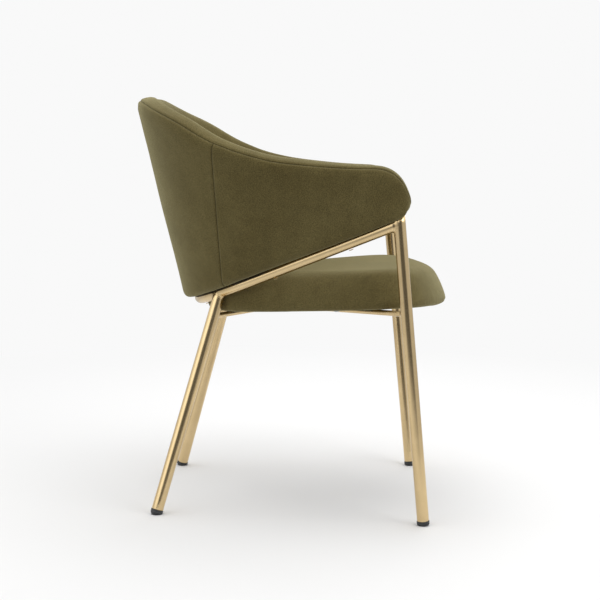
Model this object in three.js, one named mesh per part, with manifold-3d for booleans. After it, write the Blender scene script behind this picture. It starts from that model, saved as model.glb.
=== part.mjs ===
// Dining chair: an upholstered barrel shell and a padded seat on a brass-coloured tube frame.
// Millimetres, +Z up. The sitter faces -Y, and the origin is on the floor under the middle.
import * as THREE from "three";
import { mergeVertices } from "three/addons/utils/BufferGeometryUtils.js";
import Module from "manifold-3d";

const wasm = await Module();
wasm.setup();

// ---- Driving dimensions: frame -------------------------------------------------------------
const TUBE_RADIUS = 11;
const TUBE_WALL = 1.5;
const TUBE_SIDES = 14;
const FRONT_FOOT = { x: 236, y: -251.8 };
const REAR_FOOT = { x: 198.2, y: 242.6 };
// The rail's inner side and underside are set, so a thicker tube grows outwards and upwards.
const RAIL_BACK = { y: 170.4 + TUBE_RADIUS, z: 377.1 + TUBE_RADIUS };
const RAIL_END_HEIGHT = 539.7 + TUBE_RADIUS;
const RAIL_BEND_RADIUS = 170 + TUBE_RADIUS;
const REAR_JOINT_ANGLE = THREE.MathUtils.degToRad(43.2);
const BRACE_RADIUS = 5;
const TAB = { length: 30, width: 22, thickness: 3, frontReach: 185, rearReach: 64 };
const GLIDE = { height: 9, flange: 0.6, plug: 18, edge: 2.5 };

// ---- Driving dimensions: shell --------------------------------------------------------------
const BACK_HEIGHT = 774;
const ARM_HEIGHT = 650;
const TOP_HALF_WIDTH = 274;
const TOP_BACK_Y = 285.5;
const TOP_CURVE_DEPTH = 198;
const SHELL_THICKNESS = 44;
const SHELL_FRONT_Y = -214.6;
// How far the shell's inner face stands inside the rail's line, and its front beyond the rail's end.
const SHELL_INSIDE_RAIL = { back: 12, side: 18.5 };
const SHELL_PAST_RAIL = 19;
const SHELL_BASE_FRONT = 5;
const NOSE = { length: 64, height: 75, power: 2.2, roundness: 6 };
const BOTTOM_OUTER_ROUND = { back: 18, arm: 8 };
const BOTTOM_INNER_ROUND = 6;
// Share of the fall from back height to arm height that is left, at equal steps along the top edge.
const TOP_EDGE_SHARES = [1, 1, 0.872, 0.665, 0.345, 0.131, 0.047, 0.008, 0];
const RULING_REACH = 228;
const RULING_POWER = 1.6;
const COVER = 1.5;
const CORE = { thickness: 7, topDrop: 20, topOut: 2, frontDrop: 45 };
const BASE_RAIL = { width: 14, height: 18, endDrop: 36 };
const STRIP = { width: 16, reach: 6 };
const TOP_SEAM_DROP = 13;
const PANEL_SEAM = { y: 133.4, z: 442, lean: 0.04 };
const SHELL_BOLT_STATIONS = [75, 255, 402];

// ---- Driving dimensions: seat ---------------------------------------------------------------
const SEAT_FRONT_Y = -302.2;
const SEAT_BACK_Y = 167.4;
// Half of the seat's outline, from the middle of the back round to the middle of the front.
const SEAT_HALF_OUTLINE = [
  [52, 163], [98, 146], [137, 112], [171, 50], [190, -5], [206, -55],
  [221, -105], [231, -155], [229, -195], [206, -232], [163, -261], [92, -288],
];
const SEAT_PLANE = { z: 380.2, slope: 0.069 };
const SEAT_FRONT_DROP = { from: -175, rate: 0.0011 };
// The seat's side, as [distance in from the outline, height above its base].
const SEAT_PROFILE = [
  [150, 0], [80, 0], [44, 0], [12, 0], [3, 3], [0, 11], [6.5, 28], [13, 41.5],
  [25, 60], [37, 66.5], [49, 69], [80, 71.5], [130, 73],
];
const SEAT_BOARD = { inset: 30, thickness: 12 };
const DUST_CLOTH = { inset: 46, thickness: 1 };
const SEAT_LIP_INSET = 44;
const SEAT_OUTLINE_POINTS = 30;
const SEAT_SLAB_RINGS = [150, 80, 44];

// ---- Driving dimensions: fasteners ----------------------------------------------------------
const BOLT = { shank: 3, head: 6, headHeight: 2.2 };
const INSERT = { radius: 4.5, length: 14 };
const BOLT_HEAD = { flat: 0.6, edge: 0.4 };
const TEE_NUT = { barrel: 4, barrelLength: 9, flange: 9, flangeHeight: 1.4 };
const WASHER = { radius: 8, thickness: 1.2 };

// ---- Named clearances -----------------------------------------------------------------------
const GAP = 0.3;
const HOLE_CLEARANCE = 0.35;
const SHELL_TO_RAIL = 0.4;
const BRACE_TO_SEAT = 0.6;
const FAR = 1500;

// ---- Materials ------------------------------------------------------------------------------
const finish = (color, roughness, metalness) =>
  new THREE.MeshStandardMaterial({ color, roughness, metalness });
const brass = finish(0xc9ad78, 0.3, 1);
const velvet = finish(0x5e5635, 0.85, 0);
const foam = finish(0xd8cfb0, 0.95, 0);
const plywood = finish(0xb98f5c, 0.7, 0);
const fibreCloth = finish(0x22221f, 0.95, 0);
const zinc = finish(0xb9bcc0, 0.35, 1);
const blackPlastic = finish(0x1c1d1f, 0.5, 0);

const chair = new THREE.Group();

// ---- Geometry helpers -----------------------------------------------------------------------
const point = (x, y, z) => new THREE.Vector3(x, y, z);

// A closed three.js geometry as a solid that can be joined and cut.
function solid(geometry) {
  const bare = geometry.clone();
  bare.deleteAttribute("normal");
  bare.deleteAttribute("uv");
  const merged = mergeVertices(bare, 1e-4);
  const mesh = new wasm.Mesh({
    numProp: 3,
    vertProperties: merged.attributes.position.array,
    triVerts: new Uint32Array(merged.index.array),
  });
  return new wasm.Manifold(mesh);
}

function add(name, body, material) {
  const mesh = body.getMesh();
  const geometry = new THREE.BufferGeometry();
  geometry.setAttribute("position", new THREE.BufferAttribute(mesh.vertProperties, 3));
  geometry.setIndex(new THREE.BufferAttribute(mesh.triVerts, 1));
  const piece = new THREE.Mesh(geometry, material);
  piece.name = name;
  chair.add(piece);
}

// Turns a geometry made along +Z so that it starts at a point and runs along a direction.
function aim(geometry, start, direction) {
  const turn = new THREE.Quaternion().setFromUnitVectors(point(0, 0, 1), direction);
  return solid(geometry.applyQuaternion(turn).translate(start.x, start.y, start.z));
}

// A round bar between two points.
function bar(from, to, radius, sides = TUBE_SIDES) {
  const along = to.clone().sub(from);
  const length = along.length();
  const geometry = new THREE.CylinderGeometry(radius, radius, length, sides);
  geometry.rotateX(Math.PI / 2).translate(0, 0, length / 2);
  return aim(geometry, from, along.normalize());
}
// A hole between two points, wide enough for a bar of its radius to pass.
const HOLE_SIDES = 8;
const hole = (from, to, radius) => bar(from, to, radius / Math.cos(Math.PI / HOLE_SIDES), HOLE_SIDES);

// A turned piece from [radius, height] points, standing on a point and rising along a direction.
function turned(profile, start, direction, sides = HOLE_SIDES) {
  const outline = profile.map(([radius, height]) => new THREE.Vector2(radius, height));
  const geometry = new THREE.LatheGeometry(outline, sides);
  return aim(geometry.rotateX(Math.PI / 2), start, direction);
}

// Everything on the far side of a plane, away from its normal.
function behind(onPlane, normal) {
  const geometry = new THREE.BoxGeometry(2 * FAR, 2 * FAR, FAR).translate(0, 0, -FAR / 2);
  return aim(geometry, onPlane, normal);
}

// A closed body through matching rings of points, with both end rings closed by a fan.
function loft(rings) {
  const count = rings[0].length;
  const middle = (ring) => ring.reduce((sum, p) => sum.add(p), point(0, 0, 0)).divideScalar(count);
  const corners = [...rings.flat(), middle(rings[0]), middle(rings.at(-1))];
  const startPole = corners.length - 2;
  const endPole = corners.length - 1;
  const lastRing = (rings.length - 1) * count;
  const faces = [];
  for (let i = 0; i < count; i++) {
    const next = (i + 1) % count;
    faces.push([startPole, next, i], [endPole, lastRing + i, lastRing + next]);
    for (let row = 0; row < lastRing; row += count) {
      faces.push([row + i, row + next, row + count + next]);
      faces.push([row + i, row + count + next, row + count + i]);
    }
  }
  const volume = faces.reduce((sum, [a, b, c]) => {
    return sum + corners[a].dot(corners[b].clone().cross(corners[c]));
  }, 0);
  const outward = volume > 0 ? faces : faces.map(([a, b, c]) => [a, c, b]);
  const geometry = new THREE.BufferGeometry().setFromPoints(corners);
  geometry.setIndex(outward.flat());
  return solid(geometry);
}

// A flat outline with its straight stretches of every edge cut into equal steps.
function stepEdges(outline, steps) {
  return outline.flatMap((corner, i) => {
    const next = outline[(i + 1) % outline.length];
    return Array.from({ length: steps[i] }, (_, k) => corner.clone().lerp(next, k / steps[i]));
  });
}

// A flat outline with each corner replaced by a curve that starts a given distance before it.
function roundCorners(corners, rounds, steps) {
  return corners.flatMap((corner, i) => {
    const before = corners.at(i - 1);
    const after = corners[(i + 1) % corners.length];
    const partWay = (other) => Math.min(rounds[i] / corner.distanceTo(other), 0.49);
    const start = corner.clone().lerp(before, partWay(before));
    const end = corner.clone().lerp(after, partWay(after));
    return new THREE.QuadraticBezierCurve(start, corner, end).getPoints(steps[i]);
  });
}

// ---- Rail line and rail plane ---------------------------------------------------------------
// The rail ends under the arms, and the middle of the shell's foot stands outside the rail's line.
const shellOffset = (inside) => SHELL_THICKNESS / 2 - inside;
const RAIL_END = {
  x: TOP_HALF_WIDTH - shellOffset(SHELL_INSIDE_RAIL.side),
  y: SHELL_FRONT_Y + SHELL_PAST_RAIL,
  z: RAIL_END_HEIGHT,
};
const SHELL_BASE_BACK_Y = RAIL_BACK.y + shellOffset(SHELL_INSIDE_RAIL.back);
const SHELL_BASE_BEND_RADIUS = RAIL_BEND_RADIUS + shellOffset(SHELL_INSIDE_RAIL.back);
const RAIL_SLOPE = (RAIL_END.z - RAIL_BACK.z) / (RAIL_BACK.y - RAIL_END.y);
const RAIL_UP = point(0, RAIL_SLOPE, 1).normalize();
const railHeight = (y) => RAIL_BACK.z + RAIL_SLOPE * (RAIL_BACK.y - y);

// A rear bend with a straight, splayed arm on each side, lying in the rail plane.
class SplayedU extends THREE.Curve {
  constructor(radius, backY, end, lift) {
    super();
    const centreY = backY - radius;
    const reach = Math.hypot(end.x, end.y - centreY);
    this.radius = radius;
    this.centreY = centreY;
    this.lift = lift;
    this.bend = Math.atan2(end.x, end.y - centreY) - Math.acos(radius / reach);
    this.half = radius * this.bend + Math.sqrt(reach * reach - radius * radius);
  }
  // Angle of the outward side at a distance along the line from the middle of the back.
  angle(distance) {
    return Math.sign(distance) * Math.min(Math.abs(distance) / this.radius, this.bend);
  }
  outward(distance) {
    const angle = this.angle(distance);
    return point(Math.sin(angle), Math.cos(angle), 0);
  }
  at(distance) {
    const angle = this.angle(distance);
    const past = distance - this.radius * angle;
    const x = this.radius * Math.sin(angle) + past * Math.cos(angle);
    const y = this.centreY + this.radius * Math.cos(angle) - Math.abs(past) * Math.sin(Math.abs(angle));
    return point(x, y, railHeight(y) + this.lift);
  }
  getPoint(t) {
    return this.at((2 * t - 1) * this.half);
  }
  // Distance along the right-hand half (+X) at which the line passes a given y.
  distanceAtY(y) {
    const bendY = this.centreY + this.radius * Math.cos(this.bend);
    if (y > bendY) return this.radius * Math.acos(Math.min(1, (y - this.centreY) / this.radius));
    return this.radius * this.bend + (bendY - y) / Math.sin(this.bend);
  }
  // How far a point with x >= 0 lies outside the line, in plan.
  outside(p) {
    const tangentPoint = this.at(this.radius * this.bend);
    const normal = this.outward(this.half);
    if (Math.atan2(p.x, p.y - this.centreY) < this.bend) {
      return Math.hypot(p.x, p.y - this.centreY) - this.radius;
    }
    return (p.x - tangentPoint.x) * normal.x + (p.y - tangentPoint.y) * normal.y;
  }
}
const railLine = new SplayedU(RAIL_BEND_RADIUS, RAIL_BACK.y, RAIL_END, 0);

// ---- Frame ----------------------------------------------------------------------------------
const RAIL_STEPS = 26;
function sweptTube(line, radius, sides) {
  const circle = new THREE.Shape();
  circle.absarc(0, 0, radius, 0, 2 * Math.PI);
  const sweep = { steps: RAIL_STEPS, bevelEnabled: false, extrudePath: line };
  return solid(new THREE.ExtrudeGeometry(circle, { ...sweep, curveSegments: sides / 2 }));
}

const TUBE_BORE = TUBE_RADIUS - TUBE_WALL;
const railBody = sweptTube(railLine, TUBE_RADIUS, TUBE_SIDES);
const railBore = sweptTube(railLine, TUBE_BORE, HOLE_SIDES);
const railForCuts = sweptTube(railLine, TUBE_RADIUS + GAP, TUBE_SIDES);

const mirrored = (p, side) => point(side * p.x, p.y, p.z);
const frontFoot = (side) => point(side * FRONT_FOOT.x, FRONT_FOOT.y, 0);
const rearFoot = (side) => point(side * REAR_FOOT.x, REAR_FOOT.y, 0);
const frontTop = (side) => mirrored(railLine.at(railLine.half), side);
const rearTop = (side) => mirrored(railLine.at(RAIL_BEND_RADIUS * REAR_JOINT_ANGLE), side);
const towards = (from, to) => to.clone().sub(from).normalize();

function beyond(from, to, extra) {
  return to.clone().addScaledVector(towards(from, to), extra);
}

function tube(from, to) {
  const along = towards(from, to);
  const boreStart = from.clone().addScaledVector(along, -GAP);
  const outside = bar(from, to, TUBE_RADIUS);
  return outside.subtract(bar(boreStart, beyond(from, to, GAP), TUBE_BORE));
}

function leg(foot, top) {
  return tube(foot.clone().addScaledVector(towards(foot, top), GLIDE.height + GAP), top);
}

const RAIL_CROWN = RAIL_UP.clone().multiplyScalar(TUBE_RADIUS);
const aboveRail = behind(frontTop(1).add(RAIL_CROWN), RAIL_UP.clone().negate());
const floorSide = behind(point(0, 0, 0), point(0, 0, 1));
const LEG_OVERRUN = 3 * TUBE_RADIUS;

const legs = new Map();
let rail = railBody.subtract(railBore);
for (const [sideName, side] of [["left", 1], ["right", -1]]) {
  const front = frontFoot(side);
  const rear = rearFoot(side);
  const frontEnd = beyond(front, frontTop(side), LEG_OVERRUN);
  legs.set("front_leg_" + sideName, leg(front, frontEnd).subtract(aboveRail));
  legs.set("rear_leg_" + sideName, leg(rear, rearTop(side)).subtract(railForCuts));
  rail = rail.subtract(bar(front, frontEnd, TUBE_RADIUS + GAP));
}

function glide(foot, top) {
  const plug = TUBE_BORE - 2 * GAP;
  const rim = TUBE_RADIUS + GLIDE.flange;
  const under = -TUBE_RADIUS / 2;
  const profile = [
    [0, under], [rim - GLIDE.edge, under], [rim - GLIDE.edge, 0], [rim, GLIDE.edge],
    [rim, GLIDE.height], [plug, GLIDE.height], [plug, GLIDE.height + GLIDE.plug],
    [0, GLIDE.height + GLIDE.plug],
  ];
  return turned(profile, foot, towards(foot, top), TUBE_SIDES).subtract(floorSide);
}

for (const [sideName, side] of [["left", 1], ["right", -1]]) {
  add("foot_glide_front_" + sideName, glide(frontFoot(side), frontTop(side)), blackPlastic);
  add("foot_glide_rear_" + sideName, glide(rearFoot(side), rearTop(side)), blackPlastic);
}
for (const [name, body] of legs) add(name, body, brass);

// ---- Braces under the seat ------------------------------------------------------------------
const seatBase = (y) => {
  const past = Math.max(0, SEAT_FRONT_DROP.from - y);
  return SEAT_PLANE.z - SEAT_PLANE.slope * y - SEAT_FRONT_DROP.rate * past * past;
};
const SEAT_UP = point(0, SEAT_PLANE.slope, 1).normalize();
const BRACE_DROP = BRACE_RADIUS + BRACE_TO_SEAT;
const braceHeight = (y) => SEAT_PLANE.z - SEAT_PLANE.slope * y - BRACE_DROP / SEAT_UP.z;

// The point where a leg's centre line passes through the plane of the braces.
function braceEnd(foot, top) {
  const below = foot.z - braceHeight(foot.y);
  const above = top.z - braceHeight(top.y);
  return foot.clone().lerp(top, below / (below - above));
}
const frontBraceEnd = (side) => braceEnd(frontFoot(side), frontTop(side));
const rearBraceEnd = (side) => braceEnd(rearFoot(side), rearTop(side));
const braceCross = frontBraceEnd(-1).lerp(
  rearBraceEnd(1),
  frontBraceEnd(1).x / (frontBraceEnd(1).x + rearBraceEnd(1).x),
);

function clearOfLegs(body) {
  let left = body;
  for (const side of [1, -1]) {
    left = left.subtract(bar(frontFoot(side), frontTop(side), TUBE_RADIUS + GAP));
    left = left.subtract(bar(rearFoot(side), rearTop(side), TUBE_RADIUS + GAP));
  }
  return left;
}

const BRACE_SIDES = 10;
const longBrace = (grow) => bar(frontBraceEnd(-1), rearBraceEnd(1), BRACE_RADIUS + grow, BRACE_SIDES);
const halfBraces = [
  ["brace_front_left", bar(frontBraceEnd(1), braceCross, BRACE_RADIUS, BRACE_SIDES)],
  ["brace_rear_right", bar(rearBraceEnd(-1), braceCross, BRACE_RADIUS, BRACE_SIDES)],
];
add("brace_long", clearOfLegs(longBrace(0)), brass);
for (const [name, body] of halfBraces) {
  add(name, clearOfLegs(body).subtract(longBrace(GAP)), brass);
}

// ---- Seat fastenings: a welded tab beside each brace, with a bolt up into the seat board ------
const tabPlaces = [
  ["front_left", frontBraceEnd(1), TAB.frontReach, 1],
  ["front_right", frontBraceEnd(-1), TAB.frontReach, -1],
  ["rear_left", rearBraceEnd(1), TAB.rearReach, -1],
  ["rear_right", rearBraceEnd(-1), TAB.rearReach, 1],
].map(([name, end, fromCross, turn]) => {
  const inward = towards(end, braceCross);
  const across = inward.clone().cross(SEAT_UP).multiplyScalar(turn);
  const beside = BRACE_RADIUS + GAP + TAB.width / 2;
  const centre = braceCross.clone().addScaledVector(inward, -fromCross);
  centre.addScaledVector(across, beside);
  centre.addScaledVector(SEAT_UP, BRACE_RADIUS - TAB.thickness);
  return { name, centre, inward, across };
});

const holeThrough = (p, up, reach, radius) => {
  const from = p.clone().addScaledVector(up, -reach);
  return hole(from, p.clone().addScaledVector(up, reach), radius + HOLE_CLEARANCE);
};

function tab({ centre, inward, across }) {
  const plate = new THREE.BoxGeometry(TAB.length, TAB.width, TAB.thickness);
  plate.translate(0, 0, TAB.thickness / 2);
  const placed = new THREE.Matrix4().makeBasis(inward, SEAT_UP.clone().cross(inward), SEAT_UP);
  plate.applyMatrix4(placed.setPosition(centre));
  return solid(plate).subtract(holeThrough(centre, SEAT_UP, TAB.width, BOLT.shank));
}

function bolt(underHead, up, length) {
  const { shank, head, headHeight } = BOLT;
  const profile = [
    [0, -headHeight], [BOLT_HEAD.flat * head, -headHeight], [head, -BOLT_HEAD.edge * headHeight],
    [head, 0], [shank, 0], [shank, length], [0, length],
  ];
  return turned(profile, underHead, up);
}

function ring(start, up, inner, outer, height) {
  const bored = inner + HOLE_CLEARANCE;
  return turned([[bored, 0], [outer, 0], [outer, height], [bored, height], [bored, 0]], start, up);
}

const CLOTH_BOTTOM = 0.2;
const BOARD_BOTTOM = COVER + 2 * GAP;
const BOARD_TOP = BOARD_BOTTOM + SEAT_BOARD.thickness;
const teeNutStart = ({ centre }) => {
  const rise = TAB.thickness + BRACE_TO_SEAT + BOARD_TOP + GAP - TEE_NUT.barrelLength;
  return centre.clone().addScaledVector(SEAT_UP, rise);
};

function teeNut(place) {
  const bored = BOLT.shank + HOLE_CLEARANCE;
  const { barrel, barrelLength, flange, flangeHeight } = TEE_NUT;
  const profile = [
    [bored, 0], [barrel, 0], [barrel, barrelLength], [flange, barrelLength],
    [flange, barrelLength + flangeHeight], [bored, barrelLength + flangeHeight], [bored, 0],
  ];
  return turned(profile, teeNutStart(place), SEAT_UP);
}

const washer = (start) => ring(start, SEAT_UP, BOLT.shank, WASHER.radius, WASHER.thickness);
for (const place of tabPlaces) {
  const underWasher = place.centre.clone().addScaledVector(SEAT_UP, -GAP - WASHER.thickness);
  const underHead = underWasher.clone().addScaledVector(SEAT_UP, -GAP);
  const boltLength = WASHER.thickness + TAB.thickness + BOARD_TOP;
  add("seat_tab_" + place.name, tab(place), brass);
  add("seat_washer_" + place.name, washer(underWasher), zinc);
  add("seat_bolt_" + place.name, bolt(underHead, SEAT_UP, boltLength), zinc);
  add("seat_tee_nut_" + place.name, teeNut(place), zinc);
}

// ---- Seat -----------------------------------------------------------------------------------
const seatOutline = (() => {
  const half = SEAT_HALF_OUTLINE.map(([x, y]) => point(x, y, 0));
  const other = half.map((p) => mirrored(p, -1)).reverse();
  const loop = [point(0, SEAT_BACK_Y, 0), ...half, point(0, SEAT_FRONT_Y, 0), ...other];
  const curve = new THREE.CatmullRomCurve3(loop, true, "centripetal");
  return curve.getSpacedPoints(SEAT_OUTLINE_POINTS).slice(0, -1);
})();
const SEAT_MIDDLE = point(0, (SEAT_FRONT_Y + SEAT_BACK_Y) / 2, 0);

function seatRing(inset, height) {
  return seatOutline.map((p) => {
    const arm = p.clone().sub(SEAT_MIDDLE);
    const placed = SEAT_MIDDLE.clone().addScaledVector(arm, 1 - inset / arm.length());
    return placed.setZ(seatBase(placed.y) + height);
  });
}

// The whole seat, or what is left of it inside a skin of a given thickness.
function seatBody(skin) {
  const top = SEAT_PROFILE.at(-1)[1];
  const rings = SEAT_PROFILE.map(([inset, height]) => {
    const raised = skin + (height * (top - 2 * skin)) / top;
    return seatRing(inset + Math.max(0, skin * (1 - inset / SEAT_LIP_INSET)), raised);
  });
  return loft(rings);
}
function seatSlab(inset, low, high) {
  const insets = [...SEAT_SLAB_RINGS.filter((ring) => ring > inset), inset];
  const under = insets.map((distance) => seatRing(distance, low));
  const over = insets.map((distance) => seatRing(distance, high)).reverse();
  return loft([...under, ...over]);
}

const LIP_CUT = 5;
const seatLipOpening = seatSlab(SEAT_LIP_INSET, -LIP_CUT, LIP_CUT);
const seatBoard = (grow, bottom) =>
  seatSlab(SEAT_BOARD.inset - grow, bottom, BOARD_TOP + grow);
let board = seatBoard(0, BOARD_BOTTOM);
let cloth = seatSlab(DUST_CLOTH.inset, CLOTH_BOTTOM, CLOTH_BOTTOM + DUST_CLOTH.thickness);
let seatFoam = seatBody(COVER + GAP).subtract(seatBoard(GAP, -SEAT_BOARD.thickness));
for (const place of tabPlaces) {
  const nutRadius = TEE_NUT.barrel + HOLE_CLEARANCE;
  const flangeStart = teeNutStart(place).addScaledVector(SEAT_UP, TEE_NUT.barrelLength - GAP);
  const flangeEnd = flangeStart.clone().addScaledVector(SEAT_UP, TEE_NUT.flangeHeight + 2 * GAP);
  board = board.subtract(holeThrough(place.centre, SEAT_UP, 3 * SEAT_BOARD.thickness, nutRadius));
  cloth = cloth.subtract(holeThrough(place.centre, SEAT_UP, SEAT_BOARD.thickness, BOLT.shank));
  seatFoam = seatFoam.subtract(hole(flangeStart, flangeEnd, TEE_NUT.flange + GAP));
  seatFoam = seatFoam.subtract(holeThrough(place.centre, SEAT_UP, 2 * SEAT_BOARD.thickness, nutRadius));
}
add("seat_board", board, plywood);
add("seat_foam", seatFoam, foam);
add("seat_dust_cloth", cloth, fibreCloth);
add("seat_cover", seatBody(0).subtract(seatBody(COVER)).subtract(seatLipOpening), velvet);

// ---- Shell sections -------------------------------------------------------------------------
const topLine = new THREE.CurvePath();
const TOP_SIDE_Y = TOP_BACK_Y - TOP_CURVE_DEPTH;
topLine.add(new THREE.EllipseCurve(
  0, TOP_SIDE_Y, TOP_HALF_WIDTH, TOP_CURVE_DEPTH, Math.PI / 2, 0, true,
));
topLine.add(new THREE.LineCurve(
  new THREE.Vector2(TOP_HALF_WIDTH, TOP_SIDE_Y), new THREE.Vector2(TOP_HALF_WIDTH, SHELL_FRONT_Y),
));
const topShares = new THREE.SplineCurve(
  TOP_EDGE_SHARES.map((share, i) => new THREE.Vector2(i, share)),
);
const baseLift = (TUBE_RADIUS + SHELL_TO_RAIL) / RAIL_UP.z;
const SHELL_BASE_END = { x: TOP_HALF_WIDTH, y: SHELL_FRONT_Y + SHELL_BASE_FRONT };
const baseLine = new SplayedU(SHELL_BASE_BEND_RADIUS, SHELL_BASE_BACK_Y, SHELL_BASE_END, baseLift);

const noseShare = (y) =>
  Math.max(0, (SHELL_FRONT_Y + NOSE.length - y) / NOSE.length);

// One cross-section's frame at a share of the way along the +X half of the top edge.
function shellStation(share) {
  const plan = topLine.getPointAt(share);
  const nose = noseShare(plan.y);
  const noseBase = ARM_HEIGHT - NOSE.height;
  const edge = ARM_HEIGHT + (BACK_HEIGHT - ARM_HEIGHT) * topShares.getPoint(share).y;
  const kept = Math.pow(Math.max(0, 1 - Math.pow(nose, NOSE.power)), 1 / NOSE.power);
  const top = point(plan.x, plan.y, noseBase + (edge - noseBase) * kept);
  const left = Math.max(0, 1 - (TOP_BACK_Y - plan.y) / RULING_REACH);
  const setback = (TOP_BACK_Y - SHELL_BASE_BACK_Y) * Math.pow(left, RULING_POWER);
  const distance = baseLine.distanceAtY(plan.y - setback);
  const base = baseLine.at(distance);
  const topTangent = topLine.getTangentAt(share);
  const outward = point(-topTangent.y, topTangent.x, 0).add(baseLine.outward(distance)).normalize();
  outward.z = -RAIL_SLOPE * outward.y;
  const up = towards(base, top);
  const side = outward.clone().addScaledVector(up, -outward.dot(up)).normalize();
  const thickness = SHELL_THICKNESS * Math.sqrt(1 - Math.pow(nose, NOSE.roundness));
  return {
    base, up, side,
    height: base.distanceTo(top),
    half: thickness / 2,
    slant: outward.dot(up) / outward.dot(side),
    bottomRound: THREE.MathUtils.lerp(BOTTOM_OUTER_ROUND.arm, BOTTOM_OUTER_ROUND.back, left),
    railOffset: -railLine.outside(base),
  };
}

const BACK_SHARES = 7;
const ARM_SHARES = 4;
const NOSE_SHARES = [0, 0.5, 0.8, 0.96];
const stationShares = (() => {
  const length = topLine.getLength();
  const sideStart = topLine.curves[0].getLength() / length;
  const noseStart = 1 - NOSE.length / length;
  const back = Array.from({ length: BACK_SHARES }, (_, i) => (sideStart * i) / BACK_SHARES);
  const arm = Array.from({ length: ARM_SHARES }, (_, i) => {
    return sideStart + ((noseStart - sideStart) * i) / ARM_SHARES;
  });
  return [...back, ...arm, ...NOSE_SHARES.map((s) => noseStart + (1 - noseStart) * s)];
})();
const rightStations = stationShares.map(shellStation);

// A body through the cross-sections; outline(station) gives each one's points as (out, up).
function shellLoft(outline, stations = rightStations) {
  const ringOf = (station, side) => outline(station).map((p) => {
    const placed = station.base.clone().addScaledVector(station.side, p.x);
    return mirrored(placed.addScaledVector(station.up, p.y), side);
  });
  const plusX = stations.map((station) => ringOf(station, 1));
  const minusX = stations.slice(1).map((station) => ringOf(station, -1)).reverse();
  return loft([...minusX, ...plusX]);
}

const planePoint = (x, y) => new THREE.Vector2(x, y);
const CORNER_STEPS = [2, 3, 3, 1];
const EDGE_STEPS = 2;
const ZONE_STEPS = 3;

// The shell's outline, drawn in by a margin on every side.
function shellOutline({ height, half, slant, bottomRound }, margin) {
  const out = Math.max(half - margin, 1);
  const top = Math.max(height - margin, 2 * margin + 2);
  const round = (r) => Math.max(r - margin, 1);
  const corners = [
    planePoint(out, slant * out + margin), planePoint(out, top),
    planePoint(-out, top), planePoint(-out, -slant * out + margin),
  ];
  const rounds = [round(bottomRound), out, out, round(BOTTOM_INNER_ROUND)];
  const rounded = roundCorners(corners, rounds, CORNER_STEPS);
  const afterBottom = CORNER_STEPS[0];
  const afterTop = rounded.length - 2 - CORNER_STEPS[3];
  const steps = rounded.map((_, i) => (i === afterBottom || i === afterTop ? EDGE_STEPS : 1));
  return stepEdges(rounded, steps);
}

// The whole shell, or what is left of it inside a margin; the margin inside its front is wider.
function shellBody(margin) {
  if (margin === 0) return shellLoft((station) => shellOutline(station, 0));
  const front = rightStations.at(-2);
  const base = front.base.clone().setY(front.base.y + 2 * (margin - COVER));
  const stations = [...rightStations.slice(0, -2), { ...front, base }];
  return shellLoft((station) => shellOutline(station, margin), stations);
}

// A four-sided outline, from its outer foot round to its inner foot, with its sides in steps.
const fourSided = (corners) => stepEdges(corners, [ZONE_STEPS, 1, ZONE_STEPS, 1]);
const box2 = (x0, x1, y0, y1) => fourSided(
  [planePoint(x1, y0), planePoint(x1, y1), planePoint(x0, y1), planePoint(x0, y0)],
);
const UNDER = -15;
const OUTSIDE = 40;

const bodyStations = rightStations.slice(0, -2);
const outerZone = (grow) => shellLoft((station) => {
  return box2(station.railOffset - grow, OUTSIDE, UNDER, station.height - TOP_SEAM_DROP + grow);
}, bodyStations);
const stripZone = (grow) => shellLoft(({ railOffset }) => {
  const half = STRIP.width / 2 + grow;
  return box2(railOffset - half, railOffset + half, UNDER, STRIP.reach + grow);
}, bodyStations);

// ---- Shell core and base rail ---------------------------------------------------------------
const coreFront = (forward) =>
  behind(point(0, SHELL_FRONT_Y + CORE.frontDrop - forward, 0), point(0, -1, 0));

function core(grow, bottom) {
  return shellLoft(({ height, slant, railOffset }) => {
    const low = railOffset + BASE_RAIL.width / 2 + GAP + CORE.thickness / 2;
    const half = CORE.thickness / 2 + grow;
    const foot = bottom + slant * low;
    const top = height - CORE.topDrop + grow;
    return fourSided([
      planePoint(low + half, foot), planePoint(CORE.topOut + half, top),
      planePoint(CORE.topOut - half, top), planePoint(low - half, foot),
    ]);
  }, bodyStations).intersect(coreFront(grow));
}

const BASE_BOTTOM = TUBE_RADIUS + SHELL_TO_RAIL + COVER + GAP;
const BASE_RAIL_STEPS = 22;

function baseRail(grow, bottom) {
  const reach = railLine.half - BASE_RAIL.endDrop + grow;
  const half = BASE_RAIL.width / 2 + grow;
  const top = BASE_BOTTOM + BASE_RAIL.height + grow;
  const rings = Array.from({ length: BASE_RAIL_STEPS + 1 }, (_, i) => {
    const distance = reach * ((2 * i) / BASE_RAIL_STEPS - 1);
    const outward = railLine.outward(distance);
    outward.z = -RAIL_SLOPE * outward.y;
    const place = (out, up) =>
      railLine.at(distance).addScaledVector(outward, out).addScaledVector(RAIL_UP, up);
    return [place(-half, bottom), place(half, bottom), place(half, top), place(-half, top)];
  });
  return loft(rings);
}

// ---- Shell fastenings: bolts up through the rail into threaded inserts in the base rail ------
const shellBoltPlaces = [["left", 1], ["right", -1]].flatMap(([sideName, side]) => {
  return SHELL_BOLT_STATIONS.map((distance, i) => {
    return { name: sideName + "_" + (i + 1), centre: railLine.at(side * distance) };
  });
});
const alongRailUp = (centre, rise) => centre.clone().addScaledVector(RAIL_UP, rise);

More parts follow.
